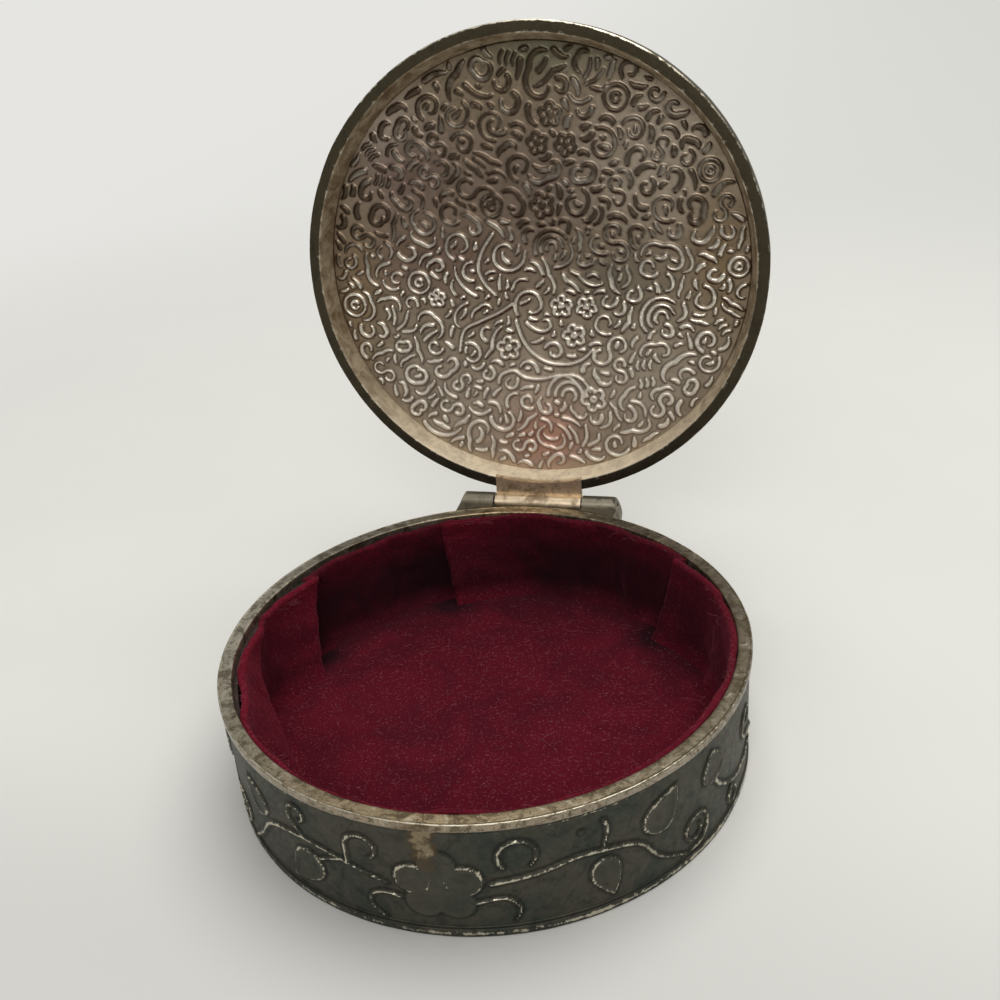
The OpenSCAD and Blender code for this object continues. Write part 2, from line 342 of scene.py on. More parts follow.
@dataclass(frozen=True)
class Layout:
    """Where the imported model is, read from the frame: in millimetres, but the pin in metres."""

    BORE_GAP = 0.04
    CARD_THICK = 0.54

    rim_r: float
    rim_z: float
    bore_r: float
    plate_top: float
    pin: Vector
    opened: float
    lining_r: float
    lining_top: float
    pad_r: float
    pad_top: float
    lid_z: float
    lid_top: float
    sheet_r: float
    sheet_z: float

    @property
    def open_turn(self) -> Matrix:
        """Turns what is drawn shut to where the lid rests, open on its stop."""
        return (Matrix.Translation(self.pin) @ Matrix.Rotation(-self.opened, 4, "X")
                @ Matrix.Translation(-self.pin))

    @classmethod
    def read(cls, model: dict) -> Layout:
        """Reads the layout from the loaded frame.


        Returns:
            The layout.
        """
        joint = model["joints"][0]
        pin = Vector(joint["pos_m"])
        opened = math.radians(joint["range_deg"][1])
        shut = (Matrix.Translation(pin) @ Matrix.Rotation(opened, 4, "X")
                @ Matrix.Translation(-pin))

        def shut_box(node: str) -> tuple[Points, Points]:
            """Lowest and highest corner of a lid node with the lid shut."""
            turned = np.array([shut @ v.co for v in model["nodes"][node].data.vertices])
            return turned.min(0), turned.max(0)

        wall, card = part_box("base_wall")[1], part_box("wall_card")
        velvet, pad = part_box("velvet_wall")[1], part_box("velvet_floor")[1]
        shell, sheet = shut_box("lid_shell"), shut_box("lid_brocade_sheet")
        metres = {"rim_r": wall.x, "rim_z": wall.z, "bore_r": card[1].x + cls.BORE_GAP * MM,
                  "plate_top": card[0].z, "lining_r": card[1].x - cls.CARD_THICK * MM,
                  "lining_top": velvet.z, "pad_r": pad.x, "pad_top": pad.z,
                  "lid_z": float(shell[0][2]), "lid_top": float(shell[1][2]),
                  "sheet_r": float(sheet[1][0]), "sheet_z": float(sheet[0][2])}
        return cls(pin=pin, opened=opened, **{k: v / MM for k, v in metres.items()})


# ------------------------------------------------------------------------------ node trees


class Nodes:
    """Builds a node tree in a few plain calls."""

    def __init__(self, tree: bpy.types.NodeTree) -> None:
        """Takes the tree that the nodes go into."""
        self.tree = tree

    def add(self, kind: str, inputs: dict[str | int, object] | None = None,
            **settings: object) -> bpy.types.Node:
        """Adds a node.

        Args:
            kind: The node's type, without its prefix.
            inputs: A value or an output for each named or numbered input.
            **settings: The node's own settings.

        Returns:
            The node.
        """
        node = self.tree.nodes.new("ShaderNode" + kind)
        for name, value in settings.items():
            setattr(node, name, value)
        for name, value in (inputs or {}).items():
            self.feed(node.inputs[name], value)
        return node

    def feed(self, socket: bpy.types.NodeSocket, value: object) -> None:
        """Links an output to a socket, or sets the socket's own value.

        Args:
            socket: The socket.
            value: An output, a number, or a colour of three numbers.
        """
        if isinstance(value, bpy.types.NodeSocket):
            self.tree.links.new(value, socket)
        elif isinstance(value, tuple) and len(value) == 3 and socket.type == "RGBA":
            socket.default_value = (*value, 1)
        else:
            socket.default_value = value

    def ramp(self, value: bpy.types.NodeSocket, low: float, high: float, start: float = 0,
             end: float = 1, how: str = "SMOOTHSTEP") -> bpy.types.NodeSocket:
        """Maps the span from low to high onto the one from start to end."""
        return self.add("MapRange", {"Value": value, "From Min": low, "From Max": high,
                                     "To Min": start, "To Max": end},
                        interpolation_type=how).outputs[0]

    def math(self, how: str, a: object, b: object = 0.0, clamp: bool = False
             ) -> bpy.types.NodeSocket:
        """One sum of two numbers."""
        return self.add("Math", {0: a, 1: b}, operation=how, use_clamp=clamp).outputs[0]

    def mix(self, share: object, under: object, over: object, kind: str = "RGBA"
            ) -> bpy.types.NodeSocket:
        """Lays one colour over another, or blends two numbers.

        Args:
            share: How much of the upper one shows.
            under: The lower one.
            over: The upper one.
            kind: RGBA for colours, FLOAT for numbers.

        Returns:
            The mixed colour or number.
        """
        node = self.add("Mix", data_type=kind)
        for name, value in (("Factor", share), ("A", under), ("B", over)):
            self.feed(node.inputs[name], value)
        return node.outputs["Result"]

    def blend(self, share: object, under: object, over: object) -> bpy.types.NodeSocket:
        """Blends two numbers."""
        return self.mix(share, under, over, "FLOAT")

    def coat(self, colour: object, mask: bpy.types.NodeSocket, low: float, high: float,
             most: float, over: object) -> bpy.types.NodeSocket:
        """Lays a coat over a colour where a mask goes from low to high.

        Args:
            colour: The colour below.
            mask: The mask.
            low: Value of the mask at which nothing of the coat shows.
            high: Value at which most of it shows.
            most: How much that is, from 0 to 1.
            over: The coat's colour.

        Returns:
            The mixed colour.
        """
        return self.mix(self.ramp(mask, low, high, 0, most), colour, over)


class Shader(Nodes):
    """The nodes of a material, round its Principled shader."""

    def __init__(self, name: str) -> None:
        """Starts a material.

        Args:
            name: Its name.
        """
        self.material = bpy.data.materials.new(name)
        self.material.use_nodes = True
        super().__init__(self.material.node_tree)
        self.body = self.tree.nodes["Principled BSDF"]

    def place(self, turn: Sequence[float] | None = None, move: Sequence[float] | None = None,
              scale: Sequence[float] = (1, 1, 1)) -> bpy.types.NodeSocket:
        """Object coordinates, moved, turned and scaled by a Mapping node."""
        where = self.add("TexCoord").outputs["Object"]
        return self.add("Mapping", {"Vector": where, "Rotation": turn or (0, 0, 0),
                                    "Location": move or (0, 0, 0), "Scale": scale}).outputs[0]

    def noise(self, size: float, detail: float = 3, rough: float = 0.55,
              where: bpy.types.NodeSocket | None = None, shift: float = 0,
              warp: float = 0) -> bpy.types.NodeSocket:
        """Soft noise.

        Args:
            size: Size of its grains in metres.
            detail: How many finer layers it has.
            rough: How strong the finer layers are.
            where: Coordinates; the object's own by default.
            shift: Moves the noise, so that two of them differ.
            warp: How far it is distorted.

        Returns:
            Its value, near 0.5 on average.
        """
        where = where or self.place(move=(shift, shift * 0.7, -shift))
        return self.add("TexNoise", {"Vector": where, "Scale": 1 / size, "Detail": detail,
                                     "Roughness": rough, "Distortion": warp}).outputs[0]

    def read(self, name: str) -> bpy.types.NodeSocket:
        """A number that was painted on the piece."""
        return self.add("Attribute", attribute_name=name).outputs["Fac"]

    def read_colour(self, name: str) -> bpy.types.NodeSocket:
        """A colour that was painted on the piece."""
        return self.add("Attribute", attribute_name=name).outputs["Color"]

    def relief(self, *layers: tuple[bpy.types.NodeSocket, float]) -> bpy.types.NodeSocket:
        """Bumps the surface by several heights, one over the other.

        Args:
            *layers: Height of each, and its depth in metres.

        Returns:
            The bumped normal.
        """
        under: dict[str, bpy.types.NodeSocket] = {}
        for height, depth in layers:
            bump = self.add("Bump", {"Height": height, "Distance": depth, **under})
            under = {"Normal": bump.outputs[0]}
        return under["Normal"]

    def close(self, colour: object, rough: object, normal: bpy.types.NodeSocket | None = None,
              **sockets: object) -> bpy.types.Material:
        """Feeds the Principled shader.

        Args:
            colour: Base colour.
            rough: Roughness.
            normal: Bumped normal.
            **sockets: Values of other sockets, spaces in their names written as underlines.

        Returns:
            The finished material.
        """
        self.feed(self.body.inputs["Base Color"], colour)
        self.feed(self.body.inputs["Roughness"], rough)
        if normal:
            self.feed(self.body.inputs["Normal"], normal)
        for name, value in sockets.items():
            self.feed(self.body.inputs[name.replace("_", " ")], value)
        return self.material


# ------------------------------------------------------------------------------ finishes


@dataclass(frozen=True)
class AntiquedSilver:
    """Oxidised white metal: dark grey-green in the ground, bright where hands have worn it."""

    name: str = "antiqued_silver_cast"
    ground: Colour = shade(82, 80, 71)
    green: Colour = shade(66, 71, 64)
    brown: Colour = shade(98, 86, 66)
    raised: Colour = shade(88, 86, 77)
    hollow: Colour = shade(34, 33, 29)
    grime: Colour = shade(86, 76, 56)
    bright: Colour = shade(202, 195, 175)
    stain: Colour = shade(150, 136, 110)
    rust: Colour = shade(94, 76, 54)

    def build(self) -> bpy.types.Material:
        """Builds the material; it reads relief, wear, hollow, plain, stain and tint.

        Returns:
            The material.
        """
        s = Shader(self.name)
        cloud = s.noise(7 * MM, 5, 0.6, warp=0.6)
        fine = s.noise(0.9 * MM, 5, 0.65, shift=0.11)
        grain = s.noise(0.22 * MM, 3, 0.6, shift=0.37)
        scratch = s.noise(1, 3, 0.6, where=s.place(scale=(700, 700, 3500)))
        run = s.noise(1, 3, 0.6, where=s.place(scale=(1800, 1800, 240)))
        patina = s.mix(s.ramp(cloud, 0.42, 0.62), self.ground, self.green)
        blotch = s.noise(2.4 * MM, 7, 0.75, shift=0.77, warp=0.9)
        patina = s.coat(patina, fine, 0.56, 0.72, 0.5, self.brown)
        patina = s.coat(patina, blotch, 0.48, 0.62, 0.4, self.hollow)
        patina = s.coat(patina, blotch, 0.46, 0.34, 0.4, self.grime)
        patina = s.mix(s.math("MULTIPLY", s.read("relief"), 0.5), patina, self.raised)
        # The hollow map is patina beside the vine, plus painted shade under the band and above the
        # foot.
        patina = s.mix(s.math("MULTIPLY", s.read("hollow"), 0.85), patina, self.hollow)
        stain = s.math("MULTIPLY", s.read("stain"), s.ramp(run, 0.3, 0.6, 0.75, 1.05))
        stain = s.math("MULTIPLY", stain, s.ramp(fine, 0.3, 0.62, 0.55, 1.2))
        patina = s.coat(patina, stain, 0.1, 0.5, 0.75, self.rust)
        patina = s.coat(patina, stain, 0.45, 0.95, 0.9, self.stain)
        metal = s.mix(s.ramp(blotch, 0.5, 0.58, 0, 0.75), s.read_colour("tint"), self.grime)
        metal = s.coat(metal, blotch, 0.45, 0.36, 0.55, self.bright)
        metal = s.coat(metal, fine, 0.52, 0.66, 0.7, self.grime)
        metal = s.coat(metal, grain, 0.56, 0.7, 0.5, self.hollow)
        metal = s.mix(s.math("MULTIPLY", s.read("hollow"), 0.85), metal, self.hollow)
        skin = s.mix(s.read("plain"), patina, metal)
        # The wear map holds real wear and, on the rim's edge, a painted highlight strongest at the
        # front.
        fleck = s.math("ADD", s.read("wear_and_highlight"), s.ramp(fine, 0.3, 0.7, -0.38, 0.26))
        worn = s.ramp(s.math("ADD", fleck, s.ramp(grain, 0.3, 0.7, -0.12, 0.12)), 0.35, 0.62)
        colour = s.mix(worn, skin, self.bright)
        rough = s.blend(s.read("plain"), s.ramp(fine, 0.3, 0.7, 0.62, 0.46),
                        s.ramp(fine, 0.3, 0.7, 0.42, 0.3))
        rough = s.blend(worn, rough, 0.36)
        normal = s.relief((fine, 0.045 * MM), (grain, 0.014 * MM), (scratch, 0.008 * MM))
        return s.close(colour, rough, normal, Metallic=0.85)


@dataclass(frozen=True)
class LidSilver:
    """Tarnished silver of the lid: warm at the recess, dark brown on its lip and outside."""

    name: str = "tarnished_silver_lid"
    lip: Colour = shade(76, 69, 54)
    lip_dark: Colour = shade(54, 48, 39)
    slope: Colour = shade(252, 235, 204)
    slope_dark: Colour = shade(112, 90, 60)
    outside: Colour = shade(118, 112, 98)
    outside_dark: Colour = shade(88, 80, 66)
    bright: Colour = shade(236, 226, 204)

    def build(self) -> bpy.types.Material:
        """Builds the material; it reads slope, glow, outside and wear from the piece.

        Returns:
            The material.
        """
        s = Shader(self.name)
        cloud = s.noise(9 * MM, 4, 0.6, warp=0.8)
        fine = s.noise(1.1 * MM, 5, 0.65, shift=0.21)
        grain = s.noise(0.2 * MM, 3, 0.6, shift=0.53)
        blotch = s.noise(2.6 * MM, 6, 0.7, shift=0.33, warp=0.5)
        scratch = s.noise(1, 2, 0.5, where=s.place(turn=(0, 0.5, 0), scale=(420, 2000, 7000)))
        # Painted light and shade: toward the hinge end of the open lid the lip is painted darker
        # and the slope brighter.
        aged_and_shaded = s.math("ADD", s.ramp(blotch, 0.35, 0.7, -0.15, 0.45),
                      s.ramp(s.read("glow"), 0.3, 1.0, 0, 0.6), clamp=True)
        lip = s.mix(aged_and_shaded, self.lip, self.lip_dark)
        glow = s.math("ADD", s.read("glow"), s.ramp(blotch, 0.3, 0.7, 0.12, -0.3), clamp=True)
        slope = s.mix(glow, self.slope_dark, self.slope)
        outside = s.mix(s.ramp(cloud, 0.35, 0.7), self.outside, self.outside_dark)
        outside = s.coat(outside, scratch, 0.6, 0.78, 0.22, self.bright)
        lip = s.coat(lip, fine, 0.5, 0.75, 0.6, self.lip_dark)
        slope = s.coat(slope, fine, 0.55, 0.75, 0.45, self.slope_dark)
        colour = s.mix(s.read("slope"), lip, slope)
        colour = s.mix(s.read("outside"), colour, outside)
        # The wear map holds real wear and a painted highlight along the top of the lip's edge.
        worn = s.ramp(s.math("ADD", s.read("wear_and_highlight"), s.ramp(fine, 0.3, 0.7, -0.3, 0.2)),
                      0.25, 0.7)
        colour = s.mix(worn, colour, self.bright)
        rough = s.blend(s.read("slope"), s.ramp(fine, 0.3, 0.7, 0.6, 0.48), 0.58)
        rough = s.blend(worn, rough, 0.34)
        normal = s.relief((fine, 0.03 * MM), (grain, 0.008 * MM), (scratch, 0.004 * MM))
        return s.close(colour, rough, normal, Metallic=s.blend(s.read("slope"), 0.95, 0.2))


@dataclass(frozen=True)
class BrocadeSilver:
    """Pressed silver sheet: satin ground with coloured tarnish, dark beside its ridges, the ridges
    painted bright below and brown above as painted highlight and shade.
    """

    name: str = "brocade_silver_sheet"
    ridge: Colour = shade(246, 239, 224)
    ridge_shade: Colour = shade(66, 54, 42)
    dark: Colour = shade(54, 45, 37)
    dirt: Colour = shade(98, 82, 58)

    def build(self) -> bpy.types.Material:
        """Builds the material; it reads tint, relief, hollow, bloom and a map of painted light on
        the ridges.

        Returns:
            The material.
        """
        s = Shader(self.name)
        cloud = s.noise(6 * MM, 5, 0.6, warp=0.7)
        fine = s.noise(0.7 * MM, 5, 0.65, shift=0.31)
        grain = s.noise(0.16 * MM, 3, 0.6, shift=0.83)
        painted_ridge_light = s.math("ADD", s.read("painted_ridge_light"), s.ramp(cloud, 0.35, 0.65, -0.2, 0.2), clamp=True)
        ground = s.mix(s.ramp(cloud, 0.4, 0.7, 0, 0.35), s.read_colour("tint"), self.dirt)
        ground = s.coat(ground, fine, 0.55, 0.75, 0.4, self.dark)
        # Painted light: the dark beside the ridges is patina, deepened in the lower half as
        # painted shadow; the ridges are painted bright silver in the lower half as a painted
        # highlight and brown in the upper half as painted shade.
        colour = s.mix(s.math("MULTIPLY", s.read("hollow"), 0.7), ground, self.dark)
        crest = s.math("MULTIPLY", s.ramp(s.read("relief"), 0.4, 0.92),
                       s.ramp(fine, 0.3, 0.6, 0.5, 0.95))
        crest = s.math("MULTIPLY", crest, painted_ridge_light)
        brown = s.math("MULTIPLY", s.ramp(s.read("relief"), 0.1, 0.6, 0, 0.85),
                       s.math("SUBTRACT", 1.0, painted_ridge_light, clamp=True))
        colour = s.mix(brown, colour, self.ridge_shade)
        colour = s.mix(crest, colour, self.ridge)
        rough = s.blend(crest, s.ramp(fine, 0.3, 0.7, 0.46, 0.34), 0.24)
        normal = s.relief((fine, 0.018 * MM), (grain, 0.006 * MM))
        metal = s.blend(s.read("bloom"), 1.0, 0.55)
        metal = s.blend(s.math("MULTIPLY", crest, s.read("bloom")), metal, 0.25)
        return s.close(colour, rough, normal, Metallic=metal)


@dataclass(frozen=True)
class PlainSilver:
    """Bare silver of the hinge, worn bright and mottled with brown dirt."""

    name: str
    base: Colour
    dirt: Colour
    dull: float = 0.34

    def build(self) -> bpy.types.Material:
        """Builds the material.

        Returns:
            The material.
        """
        s = Shader(self.name)
        cloud = s.noise(2.4 * MM, 5, 0.65, warp=0.5)
        grain = s.noise(0.25 * MM, 3, 0.6, shift=0.4)
        brushed = s.noise(1, 3, 0.6, where=s.place(scale=(260, 4200, 4200)))
        colour = s.coat(self.base, cloud, 0.45, 0.68, 0.8, self.dirt)
        colour = s.coat(colour, brushed, 0.4, 0.8, 0.25, self.dirt)
        rough = s.ramp(cloud, 0.3, 0.7, self.dull, self.dull + 0.16)
        normal = s.relief((brushed, 0.008 * MM), (grain, 0.01 * MM))
        return s.close(colour, rough, normal, Metallic=1.0)


@dataclass(frozen=True)
class Velvet:
    """Burgundy velvet: a deep red pile with a pale sheen, brushed into lighter patches."""

    name: str = "burgundy_velvet_pile"
    black: Colour = shade(34, 13, 19)
    deep: Colour = shade(64, 10, 23)
    pile: Colour = shade(108, 20, 37)
    dust: Colour = shade(150, 88, 94)

    def build(self) -> bpy.types.Material:
        """Builds the material; it reads two painted maps: a painted highlight along the hem and on
        the flaps, and painted light and shade that darken the pile to black where it lies in
        shade.

        Returns:
            The material.
        """
        s = Shader(self.name)
        brushed = s.noise(9 * MM, 4, 0.6, warp=0.9)
        tuft = s.noise(0.55 * MM, 4, 0.7, shift=0.17)
        pile = s.noise(0.16 * MM, 2, 0.6, shift=0.61)
        speck = s.noise(0.3 * MM, 2, 0.5, shift=0.91)
        colour = s.mix(s.ramp(brushed, 0.35, 0.7, 0.2, 0.5), self.deep, self.pile)
        colour = s.coat(colour, tuft, 0.35, 0.7, 0.5, self.deep)
        # Painted light and shade: the pile goes to black where the cloth lies in shade, and dust
        # shows where it is lit.
        nap = s.math("ADD", s.read("nap"), s.ramp(brushed, 0.3, 0.7, -0.12, 0.12), clamp=True)
        colour = s.mix(nap, self.black, colour)
        # Painted highlight: the hem and the flaps turn to the lighter pile colour.
        hem = s.math("MULTIPLY", s.read("hem"), s.ramp(tuft, 0.3, 0.65, 0.75, 0.25))
        colour = s.mix(hem, colour, self.pile)
        dust = s.math("MULTIPLY", s.ramp(speck, 0.58, 0.74, 0, 0.4), nap)
        colour = s.mix(dust, colour, self.dust)
        normal = s.relief((tuft, 0.07 * MM), (pile, 0.05 * MM))
        return s.close(colour, 0.95, normal, Metallic=0.0, Specular_IOR_Level=0.08,
                       Sheen_Weight=0.14, Sheen_Roughness=0.4, Sheen_Tint=(0.9, 0.2, 0.3, 1))


@dataclass(frozen=True)
class Matt:
    """Plain dull stuff with a little grain: card, wadding and lint."""

    name: str
    base: Colour
    fleck: Colour
    grain: float = 0.6 * MM

    def build(self) -> bpy.types.Material:
        """Builds the material.

        Returns:
            The material.
        """
        s = Shader(self.name)
        grain = s.noise(self.grain, 4, 0.65)
        wide = s.noise(self.grain * 9, 3, 0.55, shift=0.5)
        colour = s.coat(self.base, grain, 0.4, 0.75, 0.6, self.fleck)
        colour = s.coat(colour, wide, 0.4, 0.75, 0.3, self.fleck)
        return s.close(colour, 0.9, s.relief((grain, 0.05 * MM)), Specular_IOR_Level=0.2)


# ------------------------------------------------------------------------------ pattern drawing


class Canvas:
    """A height map in millimetres that raised strokes are drawn on.

    It keeps how far each cell lies inside the nearest stroke, so heights, worn edges and the dark
    line beside a ridge all come from one drawing.
    """

    REACH = 1.4
    HALF = 0.3
    SHAPE_HALF = 0.4
    LEAST_HALF = 0.05
    TINY = 1e-9
    FAR = 99.0

    def __init__(self, low: tuple[float, float], high: tuple[float, float], cell: float) -> None:
        """Makes an empty canvas.

        Args:
            low: Its low corner.
            high: Its high corner.
            cell: Size of its cells.
        """
        self.low = np.array(low)
        self.cell = cell
        self.size = tuple(int(math.ceil((b - a) / cell)) + 1 for a, b in zip(low, high))
        self.inside = np.full(self.size, -self.REACH)
        self.half = np.full(self.size, self.HALF)
        self.dish = np.zeros(self.size)
        self.shine = np.zeros(self.size)

    def _window(self, points: Points, margin: float) -> tuple[tuple[slice, slice], Points, Points]:
        """Finds the cells round some points.

        Args:
            points: The points.
            margin: How far round them.

        Returns:
            The cells as slices, and the coordinates of their columns and rows.
        """
        first = np.floor((points.min(0) - margin - self.low) / self.cell).astype(int)
        last = np.ceil((points.max(0) + margin - self.low) / self.cell).astype(int) + 1
        a, b = (slice(max(0, f), max(0, min(n, e))) for f, e, n in zip(first, last, self.size))
        x = self.low[0] + self.cell * np.arange(a.start, a.stop)[:, None]
        y = self.low[1] + self.cell * np.arange(b.start, b.stop)[None, :]
        return (a, b), x, y

    def _reach(self, x: Points, y: Points, p: Points, q: Points) -> tuple[Points, Points]:
        """Measures from a straight line to every cell.

        Args:
            x: Coordinates of the columns.
            y: Coordinates of the rows.
            p: Start of the line.
            q: Its end.

        Returns:
            The nearest place on the line, from 0 to 1, and the distance to it.
        """
        d = q - p
        t = np.clip(((x - p[0]) * d[0] + (y - p[1]) * d[1]) / max(d @ d, self.TINY), 0, 1)
        return t, np.hypot(x - p[0] - d[0] * t, y - p[1] - d[1] * t)

    def stroke(self, points: Sequence[Sequence[float]], width: float, taper: float = 0.35,
               shine: float = 0.86) -> None:
        """Draws a rounded stroke.

        Args:
            points: Its middle line.
            width: Its width at the start.
            taper: Its width at the end, as a share of that at the start.
            shine: How far its crest is worn bright.
        """
        line = np.asarray(points, float)
        where, x, y = self._window(line, width / 2 + self.REACH)
        if x.size == 0 or y.size == 0:
            return
        halves = width / 2 * (1 - (1 - taper) * np.linspace(0, 1, len(line)) ** 3)
        best = np.full((x.size, y.size), -self.REACH)
        half = np.full_like(best, width / 2)
        for (p, q), (h, k) in zip(zip(line[:-1], line[1:]), zip(halves[:-1], halves[1:])):
            t, away = self._reach(x, y, p, q)
            depth = h + (k - h) * t - away
            closer = depth > best
            best = np.where(closer, depth, best)
            half = np.where(closer, h + (k - h) * t, half)
        self._lay(where, best, half, 0, shine)

    def shape(self, outline: Sequence[Sequence[float]], dish: float = 0.5,
              shine: float = 0.6) -> None:
        """Draws a filled shape whose middle is lower than its edge.

        Args:
            outline: Its corners, in order.
            dish: How much lower its middle is, as a share of its height.
            shine: How far its edge is worn bright.
        """
        ring = np.asarray(outline, float)
        where, x, y = self._window(ring, self.REACH)
        if x.size == 0 or y.size == 0:
            return
        near = np.full((x.size, y.size), self.FAR)
        odd = np.zeros((x.size, y.size), bool)
        for p, q in zip(ring, np.roll(ring, -1, 0)):
            near = np.minimum(near, self._reach(x, y, p, q)[1])
            if p[1] != q[1]:
                d = q - p
                spans = (y > min(p[1], q[1])) & (y <= max(p[1], q[1]))
                odd ^= spans & (x < p[0] + (y - p[1]) * d[0] / d[1])
        self._lay(where, np.where(odd, near, -near), np.full_like(near, self.SHAPE_HALF), dish,
                  shine)

    def _lay(self, where: tuple[slice, slice], depth: Points, half: Points, dish: float,
             shine: float) -> None:
        """Keeps the deeper of what is drawn and what is there.

        Args:
            where: The cells that are drawn on.
            depth: How far each lies inside the new stroke or shape.
            half: Half the stroke's width at each.
            dish: How much lower the middle is.
            shine: How far the crest is worn bright.
        """
        over = depth > self.inside[where]
        for grid, new in ((self.inside, depth), (self.half, half), (self.dish, dish),
                          (self.shine, shine)):
            grid[where] = np.where(over, new, grid[where])

    def crest(self) -> Points:
        """Finds the tops of strokes and the edges of shapes.

        Returns:
            How far each cell is worn bright, from 0 to 1.
        """
        stroke = ease(self.inside / np.maximum(self.half, self.LEAST_HALF), 0.25, 0.85)
        edge = ease(self.inside, 0.02, 0.14) * (1 - ease(self.inside, 0.24, 0.45))
        return self.shine * np.where(self.dish > 0.1, edge, stroke)

    def height(self) -> Points:
        """Rounds the strokes and dishes the shapes.

        Returns:
            Height of every cell, from 0 to 1.
        """
        t = np.clip(self.inside / np.maximum(self.half, self.LEAST_HALF), 0, 1)
        round_top = np.sqrt(np.clip(1 - (1 - t) ** 2, 0, 1))
        return round_top * (1 - self.dish * ease(self.inside, 0.35, 1.0))

    def beside(self, far: float, near: float, over: float) -> Points:
        """The dark line beside strokes: it starts far, is full near and ends over them."""
        return ease(self.inside, far, near) * (1 - ease(self.inside, near, over))

    def clear(self, points: Sequence[Sequence[float]], gap: float) -> bool:
        """Says if there is room.

        Args:
            points: Points of what is to be drawn.
            gap: How far they have to lie outside all strokes.

        Returns:
            True if they all do, and lie on the canvas.
        """
        at = np.rint((np.asarray(points, float) - self.low) / self.cell).astype(int)
        if (at < 0).any() or (at >= np.array(self.size)).any():
            return False
        return bool((self.inside[at[:, 0], at[:, 1]] < -gap).all())

    def sample(self, grid: Points, x: Points, y: Points) -> Points:
        """Reads a grid of the canvas between its cells.

        Args:
            grid: The grid, such as what height() returns.
            x: First coordinates.
            y: Second coordinates.

        Returns:
            One value for each point.
        """
        u = np.clip((x - self.low[0]) / self.cell, 0, self.size[0] - 1.001)
        v = np.clip((y - self.low[1]) / self.cell, 0, self.size[1] - 1.001)
        i, j = u.astype(int), v.astype(int)
        u, v = u - i, v - j
        return ((grid[i, j] * (1 - u) + grid[i + 1, j] * u) * (1 - v)
                + (grid[i, j + 1] * (1 - u) + grid[i + 1, j + 1] * u) * v)


def arc(centre: Sequence[float], r: float, a0: float, a1: float, r1: float | None = None
        ) -> Points:
    """Points of an arc or of a scroll that winds in.

    Args:
        centre: Its centre.
        r: Its radius at the start.
        a0: Angle at the start, in degrees.
        a1: Angle at the end.
        r1: Radius at the end; the same as at the start by default.

    Returns:
        The points.
    """
    steps = max(4, int(abs(a1 - a0) / 18))
    a = np.radians(np.linspace(a0, a1, steps + 1))
    radius = np.linspace(r, r if r1 is None else r1, steps + 1)
    return np.stack([centre[0] + radius * np.cos(a), centre[1] + radius * np.sin(a)], 1)


def smooth(points: Sequence[Sequence[float]], steps: int = 5) -> Points:
    """Smooth curve through points.

    Args:
        points: Points that it passes.
        steps: Steps between two of them.

    Returns:
        The points of the curve.
    """
    p = np.asarray(points, float)
    p = np.concatenate([p[:1], p, p[-1:]])
    t = np.linspace(0, 1, steps, endpoint=False)[:, None]
    parts = [p[i] + t * ((p[i + 1] - p[i - 1]) + t * ((2 * p[i - 1] - 5 * p[i] + 4 * p[i + 1]
             - p[i + 2]) + t * (3 * p[i] - p[i - 1] - 3 * p[i + 1] + p[i + 2]))) / 2
             for i in range(1, len(p) - 2)]
    return np.concatenate([*parts, p[-1:]])


def leaf(stalk: Sequence[float], tip: Sequence[float], width: float) -> Points:
    """Draws a pointed leaf.

    Args:
        stalk: Where its stalk starts.
        tip: Where it ends.
        width: Its greatest width.

    Returns:
        The points of its outline.
    """
    stalk, tip = np.asarray(stalk, float), np.asarray(tip, float)
    along = tip - stalk
    side = np.array([-along[1], along[0]]) / np.hypot(*along)
    a = np.linspace(0, math.pi, 15)[:, None]
    run = stalk + along * (1 - np.cos(a)) / 2
    out = side * width * 0.65 * np.sin(a) * np.cos(a / 2)
    return np.concatenate([run + out, (run - out)[-2:0:-1]])


# ------------------------------------------------------------------------------ the vine


